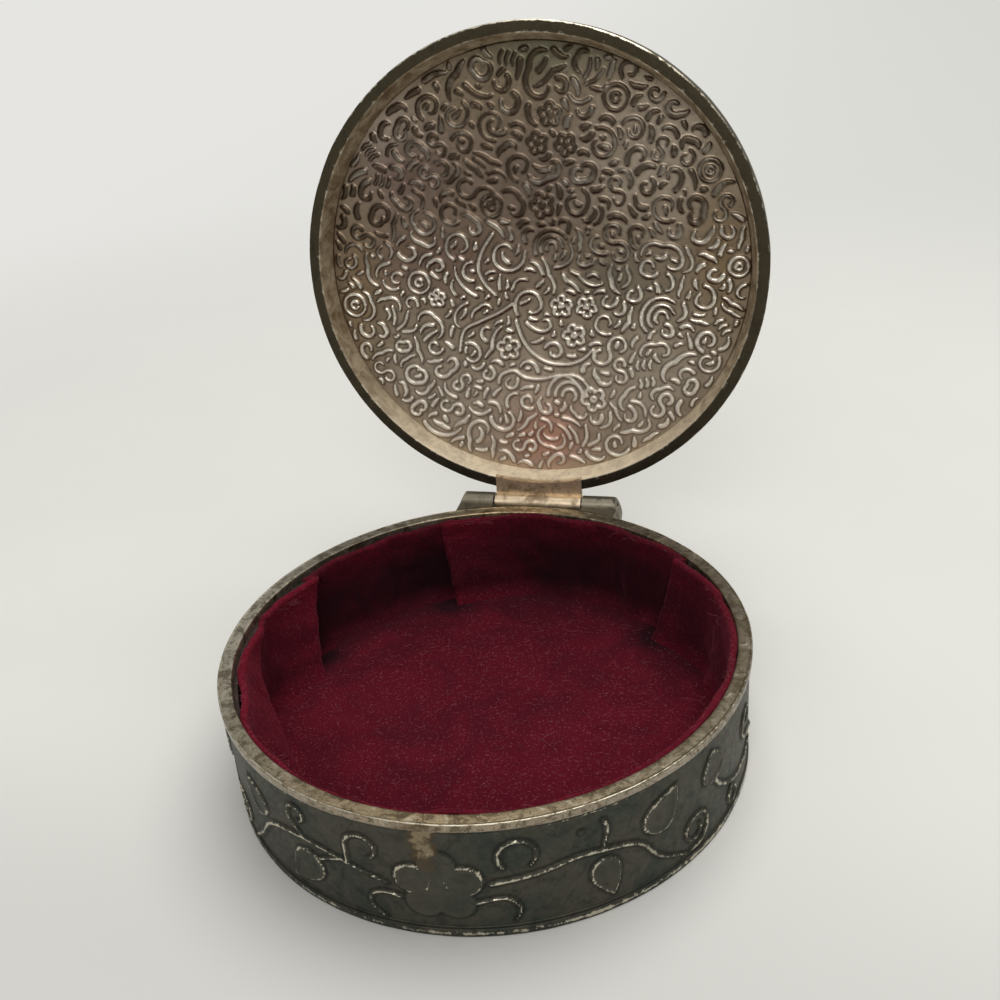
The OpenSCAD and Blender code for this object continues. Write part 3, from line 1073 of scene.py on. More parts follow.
@dataclass(frozen=True)
class Vine:
    """The raised vine of the base, drawn on the unrolled wall.

    The first coordinate is the distance along the wall from the front, to the right, and the
    second is the height above the table, both in millimetres.
    """

    stem: float = 0.8
    tendril: float = 0.6
    repeat: float = 71.0
    first: float = 3.0
    rose_height: float = 8.4
    petal_reach: float = 3.3
    petal_r: float = 2.45
    boss_r: float = 1.3

    def draw(self, canvas: Canvas, round_length: float) -> None:
        """Draws the whole vine.

        Args:
            canvas: Canvas of the unrolled wall.
            round_length: Length of the wall all round.
        """
        gap = round_length - 3 * self.repeat
        for s, full in ((self.first, True), (self.first + self.repeat + gap, False),
                        (self.first - self.repeat, True)):
            for turn in (-round_length, 0, round_length):
                self._unit(canvas, s + turn, full)
        self._filler(canvas, self.first + self.repeat / 2 + gap / 2 + 3)

    def _unit(self, canvas: Canvas, s: float, full: bool) -> None:
        """Draws one repeat.

        Args:
            canvas: Canvas of the unrolled wall.
            s: Where its rose is.
            full: False behind the hinge, where its upper half is left out.
        """
        at = np.array([s, 0])
        strokes = [
            (smooth([[-32, 2.2], [-29, 4.9], [-25.5, 8.9], [-19.4, 10.5], [-13.4, 10], [-6.4, 8]]),
             self.stem),
            (smooth([[6.4, 8.8], [12.4, 9.75], [17.8, 10.8], [24.9, 9.2], [28.5, 4.9],
                     [33.1, 2.2]]), self.stem),
            (arc([34.9, 5.1], 3.1, -105, 400, 0.9), self.tendril),
            (smooth([[-4.9, 6.1], [-6.9, 6.4], [-8.6, 5.7], [-9.2, 4.4], [-8.6, 3], [-7.3, 2.1]]),
             self.tendril),
            (smooth([[3.2, 5.4], [5.6, 6.1], [8, 6.3], [9.5, 4.9], [9.5, 3.5], [8.9, 2.4]]),
             self.tendril),
            (smooth([[-13, 9.7], [-15, 8.9], [-17.6, 7.4]]), self.tendril)]
        leaves = [leaf([-16.6, 8.2], [-21.9, 2.5], 5.2), leaf([20, 9.2], [21.6, 2.4], 4.2)]
        if full:
            strokes += [
                (np.concatenate([[[-11.8, 9.9]], arc([-9.2, 12.7], 2.6, 185, -70, 1.3)]),
                 self.tendril),
                (np.concatenate([[[-18.8, 10.8]], arc([-19.1, 14], 1.9, 215, -100, 0.7)]),
                 self.tendril),
                (arc([9.8, 12.9], 2.5, -140, -410, 2.2), self.tendril),
                (smooth([[20.5, 15.1], [20.9, 13.7], [20.3, 11]]), self.tendril)]
            leaves += [leaf([27, 9.4], [31.4, 15.2], 5.4), leaf([-26.6, 9.4], [-30.6, 14.2], 4.4)]
        for line, width in strokes:
            canvas.stroke(line + at, width)
        for outline in leaves:
            canvas.shape(outline + at, 0.62, 0.74)
        self._rose(canvas, s)

    def _rose(self, canvas: Canvas, s: float) -> None:
        """Draws five petals round a boss, each worn as far as in the photograph.

        Args:
            canvas: Canvas of the unrolled wall.
            s: Where its middle is.
        """
        for k, shine in enumerate((0.35, 0.84, 0.1, 0.12, 0.8)):
            a = math.radians(90 + 72 * k)
            middle = (s + self.petal_reach * math.cos(a),
                      self.rose_height + self.petal_reach * math.sin(a))
            canvas.shape(arc(middle, self.petal_r, 0, 342), 0.5, shine)
        canvas.shape(arc((s, self.rose_height), self.boss_r, 0, 342), 0.15, 0)

    def _filler(self, canvas: Canvas, s: float) -> None:
        """Draws what fills the wall between two repeats.

        Args:
            canvas: Canvas of the unrolled wall.
            s: Its middle.
        """
        at = np.array([s, 0])
        canvas.shape(leaf([-11, 10.2], [-11.8, 15.6], 5.2) + at, 0.62)
        for line, width in (
                (smooth([[-11, 10.3], [-9.3, 8.1], [-5.3, 5.8], [-1, 5.3], [3, 6.4]]), self.stem),
                (smooth([[0.4, 8.8], [4.6, 7.2], [8.2, 4.2], [11.4, 2.2]]), self.stem),
                (arc([-5.2, 3.4], 1.9, 100, 480, 0.7), self.tendril),
                (np.concatenate([[[3, 6.6]], arc([0.4, 11.6], 2.8, 285, -60, 1.2)]),
                 self.tendril)):
            canvas.stroke(line + at, width)


# ------------------------------------------------------------------------------ the base


@dataclass
class BaseRing:
    """The cast ring of the base: rim, decorated wall, foot and bore."""

    layout: Layout
    vine: Vine = field(default_factory=Vine)
    steps: int = 860
    wall_recess: float = 0.35
    rim_band: float = 1.25
    seat: float = 0.8
    foot_height: float = 1.3
    foot_out: float = 0.22
    foot_round: float = 0.22
    rim_round: float = 0.16
    bore_round: float = 0.22
    vine_height: float = 0.33
    row: float = 0.25
    cell: float = 0.07
    dot: tuple[float, float] = (20.6, 14.4)
    dot_r: float = 0.35
    wave_size: float = 7.0
    wave_height: float = 0.12
    crease: float = 50.0
    rim_metal: Colour = shade(132, 124, 104)
    band_metal: Colour = shade(168, 156, 140)
    band_dirt: Colour = shade(104, 84, 62)
    # Tones round the rim by angle: mostly its own mottled colour, but the golden tone at 97
    # degrees is a painted highlight near the hinge and the gold at the front a painted reflection.
    tones: tuple[tuple[float, float, Colour], ...] = (
        (270, 34, shade(164, 144, 112)), (182, 40, shade(186, 180, 162)),
        (5, 46, shade(118, 108, 92)), (97, 15, shade(206, 182, 142)),
        (150, 18, shade(132, 126, 110)), (55, 20, shade(142, 130, 112)))

    @property
    def wall(self) -> float:
        """Radius of the decorated wall."""
        return self.layout.rim_r - self.wall_recess

    @property
    def foot(self) -> float:
        """Radius of the foot."""
        return self.wall + self.foot_out

    @property
    def band(self) -> float:
        """Height at which the plain band under the rim starts."""
        return self.layout.rim_z - self.rim_band

    def profile(self) -> Points:
        """Draws the ring's profile, from its seat up the outside and down the bore.

        Returns:
            Rows of radius and height.
        """
        rim, top, bore = self.layout.rim_r, self.layout.rim_z, self.layout.bore_r
        wall, band, plate = self.wall, self.band, self.layout.plate_top
        bead = self.foot_out / 2
        bead_z = self.foot_height + 3 * bead
        rows = np.arange(bead_z + bead + 0.1, band - self.wall_recess / 2 - 0.05, self.row)
        seat = [[bore + self.seat, 0]]
        f, m, b = self.foot_round, self.rim_round, self.bore_round
        parts = [
            seat, [[self.foot - f, 0]],
            arc([self.foot - f, f], f, -80, 0),
            [[self.foot, 0.6]],
            arc([self.foot - f, self.foot_height - f], f, 0, 80),
            arc([wall, bead_z], bead, -90, 90),
            np.stack([np.full(len(rows), wall), rows], 1),
            [[wall, band - self.wall_recess / 2], [wall + 0.2, band - 0.04],
             [rim - 0.05, band + 0.08], [rim, band + 0.16], [rim, band + 0.4], [rim, top - 0.5]],
            arc([rim - m, top - m], m, 0, 110),
            [[rim - 0.34, top - 0.09], [rim - 0.5, top - 0.08], [(rim + bore) / 2, top - 0.06],
             [bore + 0.55, top - 0.05]],
            arc([bore + b, top - b - 0.05], b, 90, 180),
            [[bore, top - 0.7], [bore, top - 1.2], [bore, plate], [bore + self.seat, plate]],
            seat]
        return np.concatenate([np.asarray(p, float) for p in parts])

    def build(self, material: bpy.types.Material) -> None:
        """Builds and dresses the ring.

        Args:
            material: Its finish.
        """
        piece = spin("base_ring_cast", self.profile() * MM, self.steps)
        co = corners(piece) / MM
        (r, around), z = polar(co), co[:, 2]
        s = np.arctan2(co[:, 0], -co[:, 1]) * self.wall
        half = math.pi * self.wall
        canvas = Canvas((-half - 1, 0), (half + 1, self.layout.rim_z), self.cell)
        self.vine.draw(canvas, 2 * half)
        canvas.shape(arc(self.dot, self.dot_r, 0, 324), 0)
        face = (np.abs(r - self.wall) < 0.02) & (z > self.foot_height + 0.5)
        raised, crest, beside = (np.where(face, canvas.sample(grid, s, z), 0) for grid in (
            canvas.height(), canvas.crest(), canvas.beside(-0.55, -0.08, 0.05)))
        paint(piece, "relief", raised)
        paint(piece, "wear_and_highlight", crest * self._patches(s, z) + self._wear_and_highlight(r, z, s, around, face))
        # The hollow map is patina beside the vine, plus painted shade under the band and in the
        # corner above the foot.
        paint(piece, "hollow", np.clip(beside + self._painted_shade(r, z), 0, 1))
        paint(piece, "plain", ease(z, self.band - 0.12, self.band + 0.05))
        paint(piece, "stain", np.where(face, self._stain(s, z), 0))
        on_band = (r > self.layout.rim_r - 0.05) & (z < self.layout.rim_z - 0.1)
        paint_colour(piece, "tint", self._tint(around, on_band, s))
        emboss(piece, "vine", raised, self.vine_height * MM)
        ruffle(piece, "cast_waves", self.wave_size * MM, self.wave_height * MM)
        hand_over(piece, material, Body.BASE, Slot.ANTIQUED, "base_wall", crease=self.crease)

    def _wear_and_highlight(self, r: Points, z: Points, s: Points, around: Points, face: Points) -> Points:
        """How far edges are rubbed bright, with a painted highlight on the rim's edge that is
        strongest at the front.

        Args:
            r: Distances from the Z axis.
            z: Heights.
            s: Distances along the wall from the front.
            around: Angles from +X, in degrees.
            face: True on the decorated wall.

        Returns:
            One value for each place.
        """
        rim, top = self.layout.rim_r, self.layout.rim_z
        rim_edge = np.exp(-((r - rim + 0.14) ** 2 + (z - top) ** 2) / 0.03)
        band_edge = hump(z - self.band, 0.12, 0.1) * (r > self.wall + 0.1)
        under_band = hump(z - self.band, -0.5, 0.13) * face
        foot_edge = hump(r, self.foot, 0.07) * hump(z, 0.7, 0.34)
        bead_edge = hump(r, self.foot, 0.1) * hump(z, 1.7, 0.14)
        # Painted highlight: the rim's edge is painted brighter toward the front than its wear
        # alone.
        return ((0.3 + 0.55 * hump(around, 270, 52)) * rim_edge + 0.45 * band_edge
                + (0.35 * hump(s, -19, 7) + 0.5 * hump(s, 21, 9)) * under_band
                + (0.5 + 0.3 * ease(s, 2, 24) + 0.12 * np.sin(s / 2.9)) * foot_edge
                + 0.5 * bead_edge)

    def _painted_shade(self, r: Points, z: Points) -> Points:
        """Painted shade: dark lines under the band's overhang and in the corner above the foot, by
        distance from the axis and height.
        """
        return 0.95 * (hump(z - self.band, -0.16, 0.15) * (r < self.wall + 0.15)
                       + hump(z, self.foot_height + 0.05, 0.12))

    @staticmethod
    def _stain(s: Points, z: Points) -> Points:
        """Pale run below the rim, right of the front.

        Args:
            s: Distances along the wall from the front.
            z: Heights.

        Returns:
            One value for each place, from 0 to 1.
        """
        ragged = s + 0.3 * np.sin(z * 2.1) + 0.15 * np.sin(z * 5.3 + 1)
        return (ease(ragged, -0.5, 1.3) * (1 - ease(ragged, 2.2, 3.9))
                * (0.35 + 0.65 * ease(z, 12.2, 14.2)) * ease(z, 9.4, 11.6))

    def _tint(self, around: Points, band: Points, s: Points) -> Points:
        """Colour of the plain metal round the rim: its own tones, with a painted highlight near
        the hinge and a painted reflection at the front.

        Args:
            around: Angles from +X, in degrees.
            band: True on the upright band under the rim.
            s: Distances along the wall from the front.

        Returns:
            Rows of linear colours.
        """
        colour = np.where(band[:, None], np.array(self.band_metal), np.array(self.rim_metal))
        for middle, wide, tone in self.tones:
            near = (around - middle + 180) % 360 - 180
            colour = fade(colour, 0.8 * hump(near, 0, wide) * np.where(band, 0.45, 1), tone)
        return fade(colour, 0.75 * hump(s, 1.0, 2.6) * band, self.band_dirt)

    @staticmethod
    def _patches(s: Points, z: Points) -> Points:
        """How far the vine is worn bright along the wall, in stretches."""
        return (0.92 + 0.14 * np.sin(s / 4.1 + 0.6) * np.sin(z / 2.3 + s / 9)
                + 0.1 * np.sin(s / 1.7 + 2) + 0.08 * np.sin(z * 1.9 + s * 0.8))


def spin(name: str, profile: Points, steps: int) -> bpy.types.Object:
    """Spins a profile round the Z axis.

    Args:
        name: Name of the piece.
        profile: Rows of radius and height, in metres.
        steps: Steps all round.

    Returns:
        The closed piece, its faces outwards.
    """
    edges = [(i, i + 1) for i in range(len(profile) - 1)]
    piece = new_piece(name, [(r, 0, z) for r, z in profile], edges)
    finish_modifier(piece, "SCREW", axis="Z", angle=2 * math.pi, steps=steps, render_steps=steps,
                    use_merge_vertices=True, merge_threshold=0.001 * MM)
    bpy.ops.object.mode_set(mode="EDIT")
    bpy.ops.mesh.select_all(action="SELECT")
    bpy.ops.mesh.remove_doubles(threshold=0.002 * MM)
    bpy.ops.mesh.normals_make_consistent(inside=False)
    bpy.ops.object.mode_set(mode="OBJECT")
    return piece


# ------------------------------------------------------------------------------ the lid


@dataclass
class LidShell:
    """The cast lid, drawn shut and turned to its stop: lip, recess and low domed top."""

    layout: Layout
    steps: int = 512
    lip_width: float = 1.8
    lip_edge: float = 0.25
    edge_height: float = 5.1
    shoulder: float = 1.2
    bead: float = 0.35
    dome_drop: float = 1.1
    pocket_half: float = 7.64
    pocket_depth: float = 0.84
    pocket_back: float = 1.8
    pocket_reach: float = 7.2
    wave_size: float = 8.0
    wave_height: float = 0.14
    crease: float = 40.0

    def profile(self) -> Points:
        """Draws the profile from the middle of the recess over the lip to the dome.

        Returns:
            Rows of radius and height.
        """
        rim, lip, top = self.layout.rim_r, self.layout.lid_z, self.layout.lid_top
        sheet, face = self.layout.sheet_r + 0.04, self.layout.sheet_z
        recess, edge = rim - self.lip_width, lip + self.edge_height
        t = np.linspace(1, 0, 15)
        dome = np.stack([(rim - self.shoulder - 3) * t, top - self.dome_drop * t * t], 1)
        low, high = np.array([sheet, face]), np.array([recess - 0.12, lip + 0.18])
        parts = [
            [[0, face + 0.5], [sheet, face + 0.5]],
            low + np.linspace(0, 1, 9)[:, None] * (high - low),
            [[recess, lip + 0.05], [recess + 0.14, lip], [(rim + recess) / 2, lip + 0.02],
             [rim - self.lip_edge - 0.1, lip]],
            arc([rim - self.lip_edge, lip + self.lip_edge], self.lip_edge, -80, 0),
            [[rim, lip + 1.2], [rim, lip + 2.6]],
            arc([rim - self.shoulder, edge - self.shoulder], self.shoulder, 0, 90),
            arc([rim - self.shoulder - 1.2, edge], self.bead, 0, 180),
            dome]
        return np.concatenate([np.asarray(p, float) for p in parts])

    def build(self, material: bpy.types.Material) -> None:
        """Builds and dresses the shell, open on its stop.

        Args:
            material: Its finish.
        """
        piece = spin("lid_shell_cast", self.profile() * MM, self.steps)
        self._let_in(piece)
        ruffle(piece, "lid_waves", self.wave_size * MM, self.wave_height * MM)
        co = corners(piece) / MM
        r, z = polar(co)[0], co[:, 2] - self.layout.lid_z
        rim, recess = self.layout.rim_r, self.layout.rim_r - self.lip_width
        slope = (1 - ease(r, recess - 0.05, recess + 0.1)) * (z < 4.6)
        outside = ease(z, 0.5, 1.2) * (r > recess + 0.5) + (z > 4.7)
        from_top = np.degrees(np.arctan2(co[:, 0], -co[:, 1]))  # the open lid's top is at 0
        # Painted highlight: the lip's outer edge is painted bright most along the top of the open
        # lid; the recess edge is worn bright all round.
        top_highlight = 0.25 + 0.55 * hump(from_top, 8, 62)
        worn = top_highlight * np.exp(-((r - rim + 0.1) ** 2 + (z - 0.1) ** 2) / 0.04)
        worn += 0.45 * np.exp(-((r - recess) ** 2 + z ** 2) / 0.03)
        # Painted light: rises toward the hinge end of the open lid, where it darkens the lip and
        # brightens the slope.
        paint(piece, "glow", 0.3 + 0.7 * ease(np.abs(from_top), 100, 165))
        paint(piece, "slope", slope)
        paint(piece, "outside", np.clip(outside, 0, 1))
        paint(piece, "wear_and_highlight", worn)
        put_corners(piece, turned(corners(piece), self.layout.open_turn))
        hand_over(piece, material, Body.LID, Slot.TARNISHED, "lid_shell", crease=self.crease)

    def _let_in(self, piece: bpy.types.Object) -> None:
        """Cuts the pocket that the hinge leaf is let into.

        Args:
            piece: The shell, still shut.
        """
        deselect()
        back = self.layout.rim_r - self.pocket_back
        bpy.ops.mesh.primitive_cube_add(
            size=1, location=(0, (back + (self.pocket_reach - self.pocket_back) / 2) * MM,
                              (self.layout.lid_z + (self.pocket_depth - 1) / 2) * MM))
        cutter = bpy.context.object
        cutter.scale = (2 * self.pocket_half * MM, (self.pocket_reach + self.pocket_back) * MM,
                        (1 + self.pocket_depth) * MM)
        bpy.ops.object.transform_apply(location=True, rotation=True, scale=True)
        finish_modifier(piece, "BOOLEAN", object=cutter, operation="DIFFERENCE", solver="EXACT")
        bpy.data.objects.remove(cutter, do_unlink=True)


def turned(places: Points, matrix: Matrix) -> Points:
    """Places turned by a matrix."""
    m = np.array(matrix)
    return places @ m[:3, :3].T + m[:3, 3]


class Motif(Enum):
    """Kinds of figure in the brocade."""

    HOOK = "hook"
    SCROLL = "scroll"
    COMMA = "comma"
    BLADE = "blade"
    RIBS = "ribs"
    SPRIG = "sprig"
    BLOSSOM = "blossom"
    RING = "ring"
    RIPPLE = "ripple"
    DASH = "dash"


@dataclass(frozen=True)
class Figure:
    """One figure of the brocade: its kind, middle, size and turn, in millimetres and degrees."""

    kind: Motif
    x: float
    y: float
    size: float
    turn: float = 0

    def lines(self) -> list[Points]:
        """Middle lines of its strokes.

        Returns:
            A list of point rows.
        """
        n = self.size
        if self.kind is Motif.HOOK:
            lines = [arc((0, 0), n, 215, -110, n * 0.42)]
        elif self.kind is Motif.SCROLL:
            lines = [np.concatenate([arc((0, n / 2), n * 0.3, -20, 270, n / 2),
                                     arc((0, -n / 2), n / 2, 80, -190, n * 0.32)])]
        elif self.kind is Motif.COMMA:
            lines = [arc((0, 0), n, 150, 20, n * 0.8)]
        elif self.kind is Motif.BLADE:
            lines = [smooth([[-n, -n * 0.2], [-n * 0.3, n * 0.3], [n * 0.4, n * 0.3],
                             [n, -n * 0.15]])]
        elif self.kind is Motif.RIBS:
            lines = [smooth([[k, -n * 0.5], [k + 0.3, 0], [k + 0.1, n * 0.5]])
                     for k in (-1.05, 0, 1.05)]
        elif self.kind is Motif.SPRIG:
            lines = [smooth([[n * 0.3 * c, n * 0.1 * abs(c)], [n * 0.62 * c + 0.1 * n, n * 0.5],
                             [n * 0.8 * c - 0.1 * n, n * (1.1 - abs(c) * 0.3)]])
                     for c in (-1, 0, 0.95)]
        elif self.kind is Motif.BLOSSOM:
            lines = [arc((n * 0.66 * math.cos(a), n * 0.66 * math.sin(a)), n * 0.36,
                         math.degrees(a) - 110, math.degrees(a) + 110)
                     for a in np.radians(90 + 72 * np.arange(5))] + [arc((0, 0), n * 0.2, 0, 340)]
        elif self.kind is Motif.RING:
            lines = [arc((0, 0), n, 0, 345), arc((0, 0), n * 0.35, 30, 330)]
        elif self.kind is Motif.RIPPLE:
            lines = [arc((0, 0), n * k, 160, end)
                     for k, end in ((0.3, -70), (0.62, -40), (0.95, -10))]
        else:
            lines = [[[-n, -n * 0.1], [0, n * 0.1], [n, 0]]]
        c, s = math.cos(math.radians(self.turn)), math.sin(math.radians(self.turn))
        turn = np.array([[c, s], [-s, c]])
        return [np.asarray(line, float) @ turn + (self.x, self.y) for line in lines]


@dataclass
class BrocadeSheet:
    """The pressed sheet in the lid, drawn as seen from the front with the lid open."""

    layout: Layout
    cells: int = 308
    line: float = 0.74
    gap: float = 0.22
    height: float = 0.32
    margin: float = 0.5
    cell: float = 0.08
    step: float = 0.35
    tightest: float = 1.15
    most_turn: float = 4.6
    curls: tuple[tuple[float, int], ...] = ((8.5, 2600), (5.5, 5200), (3.4, 9000), (2.0, 14000))
    specks: int = 14000
    thick: float = 0.4
    wave_size: float = 11.0
    wave_height: float = 0.25
    ground: Colour = shade(154, 138, 119)
    # Soft stains on the ground: mostly tarnish, but the pale tones over the lower half are painted
    # light and the two pink spots low in the middle a painted reflection of the velvet.
    stains_and_reflections: tuple[tuple[float, float, float, float, Colour], ...] = (
        (3, 33, 12, 3.5, shade(96, 106, 84)), (-8, 28, 14, 6, shade(146, 130, 108)),
        (-25, 22, 8, 8, shade(190, 176, 160)), (-20, 16, 9, 6, shade(124, 100, 96)),
        (-16, 2, 16, 7, shade(122, 98, 88)), (2, 14, 13, 9, shade(116, 99, 90)),
        (20, 17, 12, 11, shade(192, 178, 160)), (1, -27, 6, 6, shade(222, 160, 134)),
        (30, -2, 5, 14, shade(138, 114, 80)), (14, -2, 8, 6, shade(104, 96, 82)),
        (-31, -8, 4, 14, shade(146, 122, 88)), (0, -25, 26, 13, shade(232, 214, 190)),
        (20, -16, 14, 12, shade(186, 172, 152)), (-18, -18, 14, 9, shade(168, 154, 136)),
        (1, -29, 6, 5, shade(226, 164, 138)))

    def anchors(self) -> list[Figure]:
        """Figures that the photograph shows clearly, at their places."""
        f, m = Figure, Motif
        return [
            f(m.BLOSSOM, 3.7, 24.2, 1.7), f(m.BLOSSOM, 6.0, 19.6, 1.6, 30),
            f(m.BLOSSOM, 1.5, 20.0, 1.6, 10), f(m.RING, 14.1, 26.2, 1.9),
            f(m.BLOSSOM, 1.9, 10.4, 1.9, 20), f(m.RING, -6.5, 10.5, 1.7),
            f(m.BLOSSOM, 4.5, -6.0, 1.7), f(m.BLOSSOM, 8.7, -6.2, 1.6, 40),
            f(m.BLOSSOM, 6.5, -11.0, 1.8, 15), f(m.BLOSSOM, -4.9, -13.2, 1.9, 5),
            f(m.BLOSSOM, 9.5, -22.1, 2.0, 25), f(m.RING, -32.0, -5.7, 1.9),
            f(m.RING, -20.0, -1.9, 1.8), f(m.BLOSSOM, -17.0, -4.6, 1.4),
            f(m.RIPPLE, 21.0, -8.0, 3.5, 60), f(m.HOOK, 16.4, -4.2, 1.5, 200),
            f(m.HOOK, -0.7, -5.8, 2.9, 0), f(m.HOOK, -4.5, 2.6, 3.2, 150),
            f(m.HOOK, -1.5, 16.5, 2.3, 40), f(m.HOOK, -10.7, 20.2, 2.0, 300),
            f(m.HOOK, 11.7, 19.3, 2.7, 250), f(m.HOOK, 7.3, 10.6, 2.4, 200),
            f(m.RIPPLE, 3.2, 3.6, 3.0, 40), f(m.RING, 33.2, 0.2, 1.5),
            f(m.RING, 28.5, 15.0, 1.7), f(m.RIPPLE, 5.3, -21.5, 3.9, 20),
            f(m.SPRIG, 7.4, -30.5, 3.4, -14), f(m.SCROLL, -9.0, 12.6, 3.6, 60),
            f(m.SCROLL, 12.4, -13.6, 3.4, 120), f(m.SPRIG, -24.6, -10.0, 3.4, -40),
            f(m.SPRIG, 9.6, 28.4, 3.0, -60), f(m.HOOK, 13.2, -30.0, 2.4, 120),
            f(m.SCROLL, 13.8, 4.2, 3.4, 15), f(m.HOOK, -13.6, 9.6, 2.0, 90),
            f(m.HOOK, 16.4, 30.0, 1.6, 0)]

    def ribbons(self) -> list[Points]:
        """Long wavy lines that cross the lower half."""
        return [
            smooth([[-7, -19.4], [-6.4, -17.9], [-4.2, -17.2], [-2.2, -18.4], [0.6, -18.6],
                    [3.4, -18.0], [5.6, -18.4], [7.4, -20.6], [7.6, -22.6]]),
            smooth([[-3.4, -8.5], [-2.4, -11.6], [-0.8, -14.0], [1.6, -15.6], [4.8, -16.0],
                    [7.6, -15.2], [9.6, -13.4]]),
            smooth([[-3.8, -5.6], [-6.4, -7.2], [-9.6, -8.6], [-12.6, -10.2], [-13.6, -13.8]]),
            smooth([[-6.6, 6.0], [-8.6, 3.2], [-9.4, 0.4], [-8.4, -2.2], [-6.6, -4.2]])]

    def draw(self) -> Canvas:
        """Draws the brocade: the clear figures first, and seeded ones in all that is left.

        Returns:
            The canvas.
        """
        r = self.layout.sheet_r
        canvas = Canvas((-r, -r), (r, r), self.cell)
        for line in self.ribbons():
            canvas.stroke(line, self.line, 0.8)
        for figure in self.anchors():
            for line in figure.lines():
                canvas.stroke(line, self.line, 0.7)
        rng = np.random.default_rng(SEED)
        m = Motif
        for kinds, small, large, tries in (((m.HOOK, m.SCROLL), 1.9, 2.6, 60),
                                           ((m.RIBS, m.BLADE, m.HOOK), 1.2, 1.9, 120)):
            for _ in range(tries):
                self._try(canvas, rng, kinds, small, large)
        for longest, tries in self.curls:
            for _ in range(tries):
                self._grow(canvas, rng, longest)
        for _ in range(self.specks):
            self._try(canvas, rng, (m.COMMA, m.DASH), 0.3, 0.6)
        return canvas

    def _spot(self, rng: np.random.Generator) -> tuple[float, float]:
        """Draws a random place on the sheet.

        Args:
            rng: Source of chance.

        Returns:
            Its two coordinates.
        """
        where = self.layout.sheet_r * math.sqrt(rng.random())
        angle = rng.random() * 2 * math.pi
        return where * math.cos(angle), where * math.sin(angle)

    def _grow(self, canvas: Canvas, rng: np.random.Generator, longest: float) -> None:
        """Grows a curl from a random place, and a shorter one that springs from it.

        Args:
            canvas: Canvas of the sheet.
            rng: Source of chance.
            longest: Its greatest length.
        """
        spot = np.array(self._spot(rng))
        heading, width = rng.random() * 2 * math.pi, self.line * rng.uniform(0.85, 1.2)
        bend, tighten = rng.choice((-1, 1)) * rng.uniform(0.1, 0.75), rng.uniform(1.0, 1.16)
        line = self._curl(canvas, spot, heading, bend, tighten, longest, width)
        if len(line) <= 2 + longest / 2.2:
            return
        width *= 1.0 + 0.35 * ease(spot[1], 0, 14)
        away = heading - math.copysign(2.3, bend)
        twin = self._curl(canvas, spot, away, -bend * 1.3, tighten, longest * 0.6, width)
        canvas.stroke(line, width * 1.1, 0.45)
        if len(twin) > 4:
            canvas.stroke(twin, width * 1.1, 0.45)

    def _curl(self, canvas: Canvas, spot: Points, heading: float, bend: float, tighten: float,
              longest: float, width: float) -> list[Points]:
        """Follows a line that winds in, until it meets another stroke.

        Args:
            canvas: Canvas of the sheet.
            spot: Where it starts.
            heading: Its direction there, in radians.
            bend: How much it turns in a millimetre.
            tighten: Growth of that turn from step to step.
            longest: Its greatest length.
            width: Width of the stroke.

        Returns:
            Its points.
        """
        step, turned_so_far, line = self.step, 0.0, []
        for _ in range(int(longest / step)):
            if (np.hypot(*spot) > self.layout.sheet_r - self.margin
                    or turned_so_far > self.most_turn
                    or not canvas.clear(spot[None], width / 2 + self.gap)):
                break
            line.append(spot)
            heading += bend * step
            turned_so_far += abs(bend) * step
            bend = float(np.clip(bend * tighten, -self.tightest, self.tightest))
            spot = spot + step * np.array([math.cos(heading), math.sin(heading)])
        return line

    def _try(self, canvas: Canvas, rng: np.random.Generator, kinds: Sequence[Motif],
             small: float, large: float) -> None:
        """Puts one random figure down if there is room for it.

        Args:
            canvas: Canvas of the sheet.
            rng: Source of chance.
            kinds: Kinds to choose from.
            small: Its least size.
            large: Its greatest size.
        """
        x, y = self._spot(rng)
        figure = Figure(kinds[rng.integers(len(kinds))], x, y, rng.uniform(small, large),
                        rng.random() * 360)
        lines = figure.lines()
        width = self.line * rng.uniform(0.8, 1.15)
        probe = np.concatenate(lines)
        if (np.hypot(*probe.T).max() > self.layout.sheet_r - self.margin
                or not canvas.clear(probe, width / 2 + self.gap)):
            return
        for line in lines:
            canvas.stroke(line, width, 0.6)

    def tint(self, x: Points, y: Points) -> Points:
        """Colour of the ground at each place, from a few soft stains, painted light and a painted
        reflection.

        Args:
            x: Places to the right of the middle.
            y: Places above the middle.

        Returns:
            Rows of linear colours.
        """
        colour = np.tile(np.array(self.ground), (len(x), 1))
        for x0, y0, wide, high, stain in self.stains_and_reflections:
            colour = fade(colour, 0.75 * hump(x, x0, wide) * hump(y, y0, high), stain)
        return colour

    def build(self, material: bpy.types.Material) -> None:
        """Builds and dresses the sheet, open on its stop.

        Args:
            material: Its finish.
        """
        deselect()
        bpy.ops.mesh.primitive_grid_add(x_subdivisions=self.cells, y_subdivisions=self.cells,
                                        size=2)
        piece = bpy.context.object
        piece.name = piece.data.name = "lid_brocade_pressed"
        bpy.ops.object.mode_set(mode="EDIT")
        bpy.ops.mesh.select_all(action="SELECT")
        bpy.ops.mesh.flip_normals()
        bpy.ops.object.mode_set(mode="OBJECT")
        u, v, _ = corners(piece).T
        r = self.layout.sheet_r
        x, y = u * np.sqrt(1 - v * v / 2) * r, v * np.sqrt(1 - u * u / 2) * r
        put_corners(piece, np.stack([x, y, np.full_like(x, self.layout.sheet_z)], 1) * MM)
        canvas = self.draw()
        LOG.info("brocade covers %.0f%% of the sheet",
                 100 * (canvas.inside > 0).mean() * 4 / math.pi)
        y = -y  # the top of the open lid is what lies farthest from the hinge
        raised = canvas.sample(canvas.height(), x, y)
        dark = canvas.sample(canvas.beside(-0.34, -0.04, 0.1), x, y)
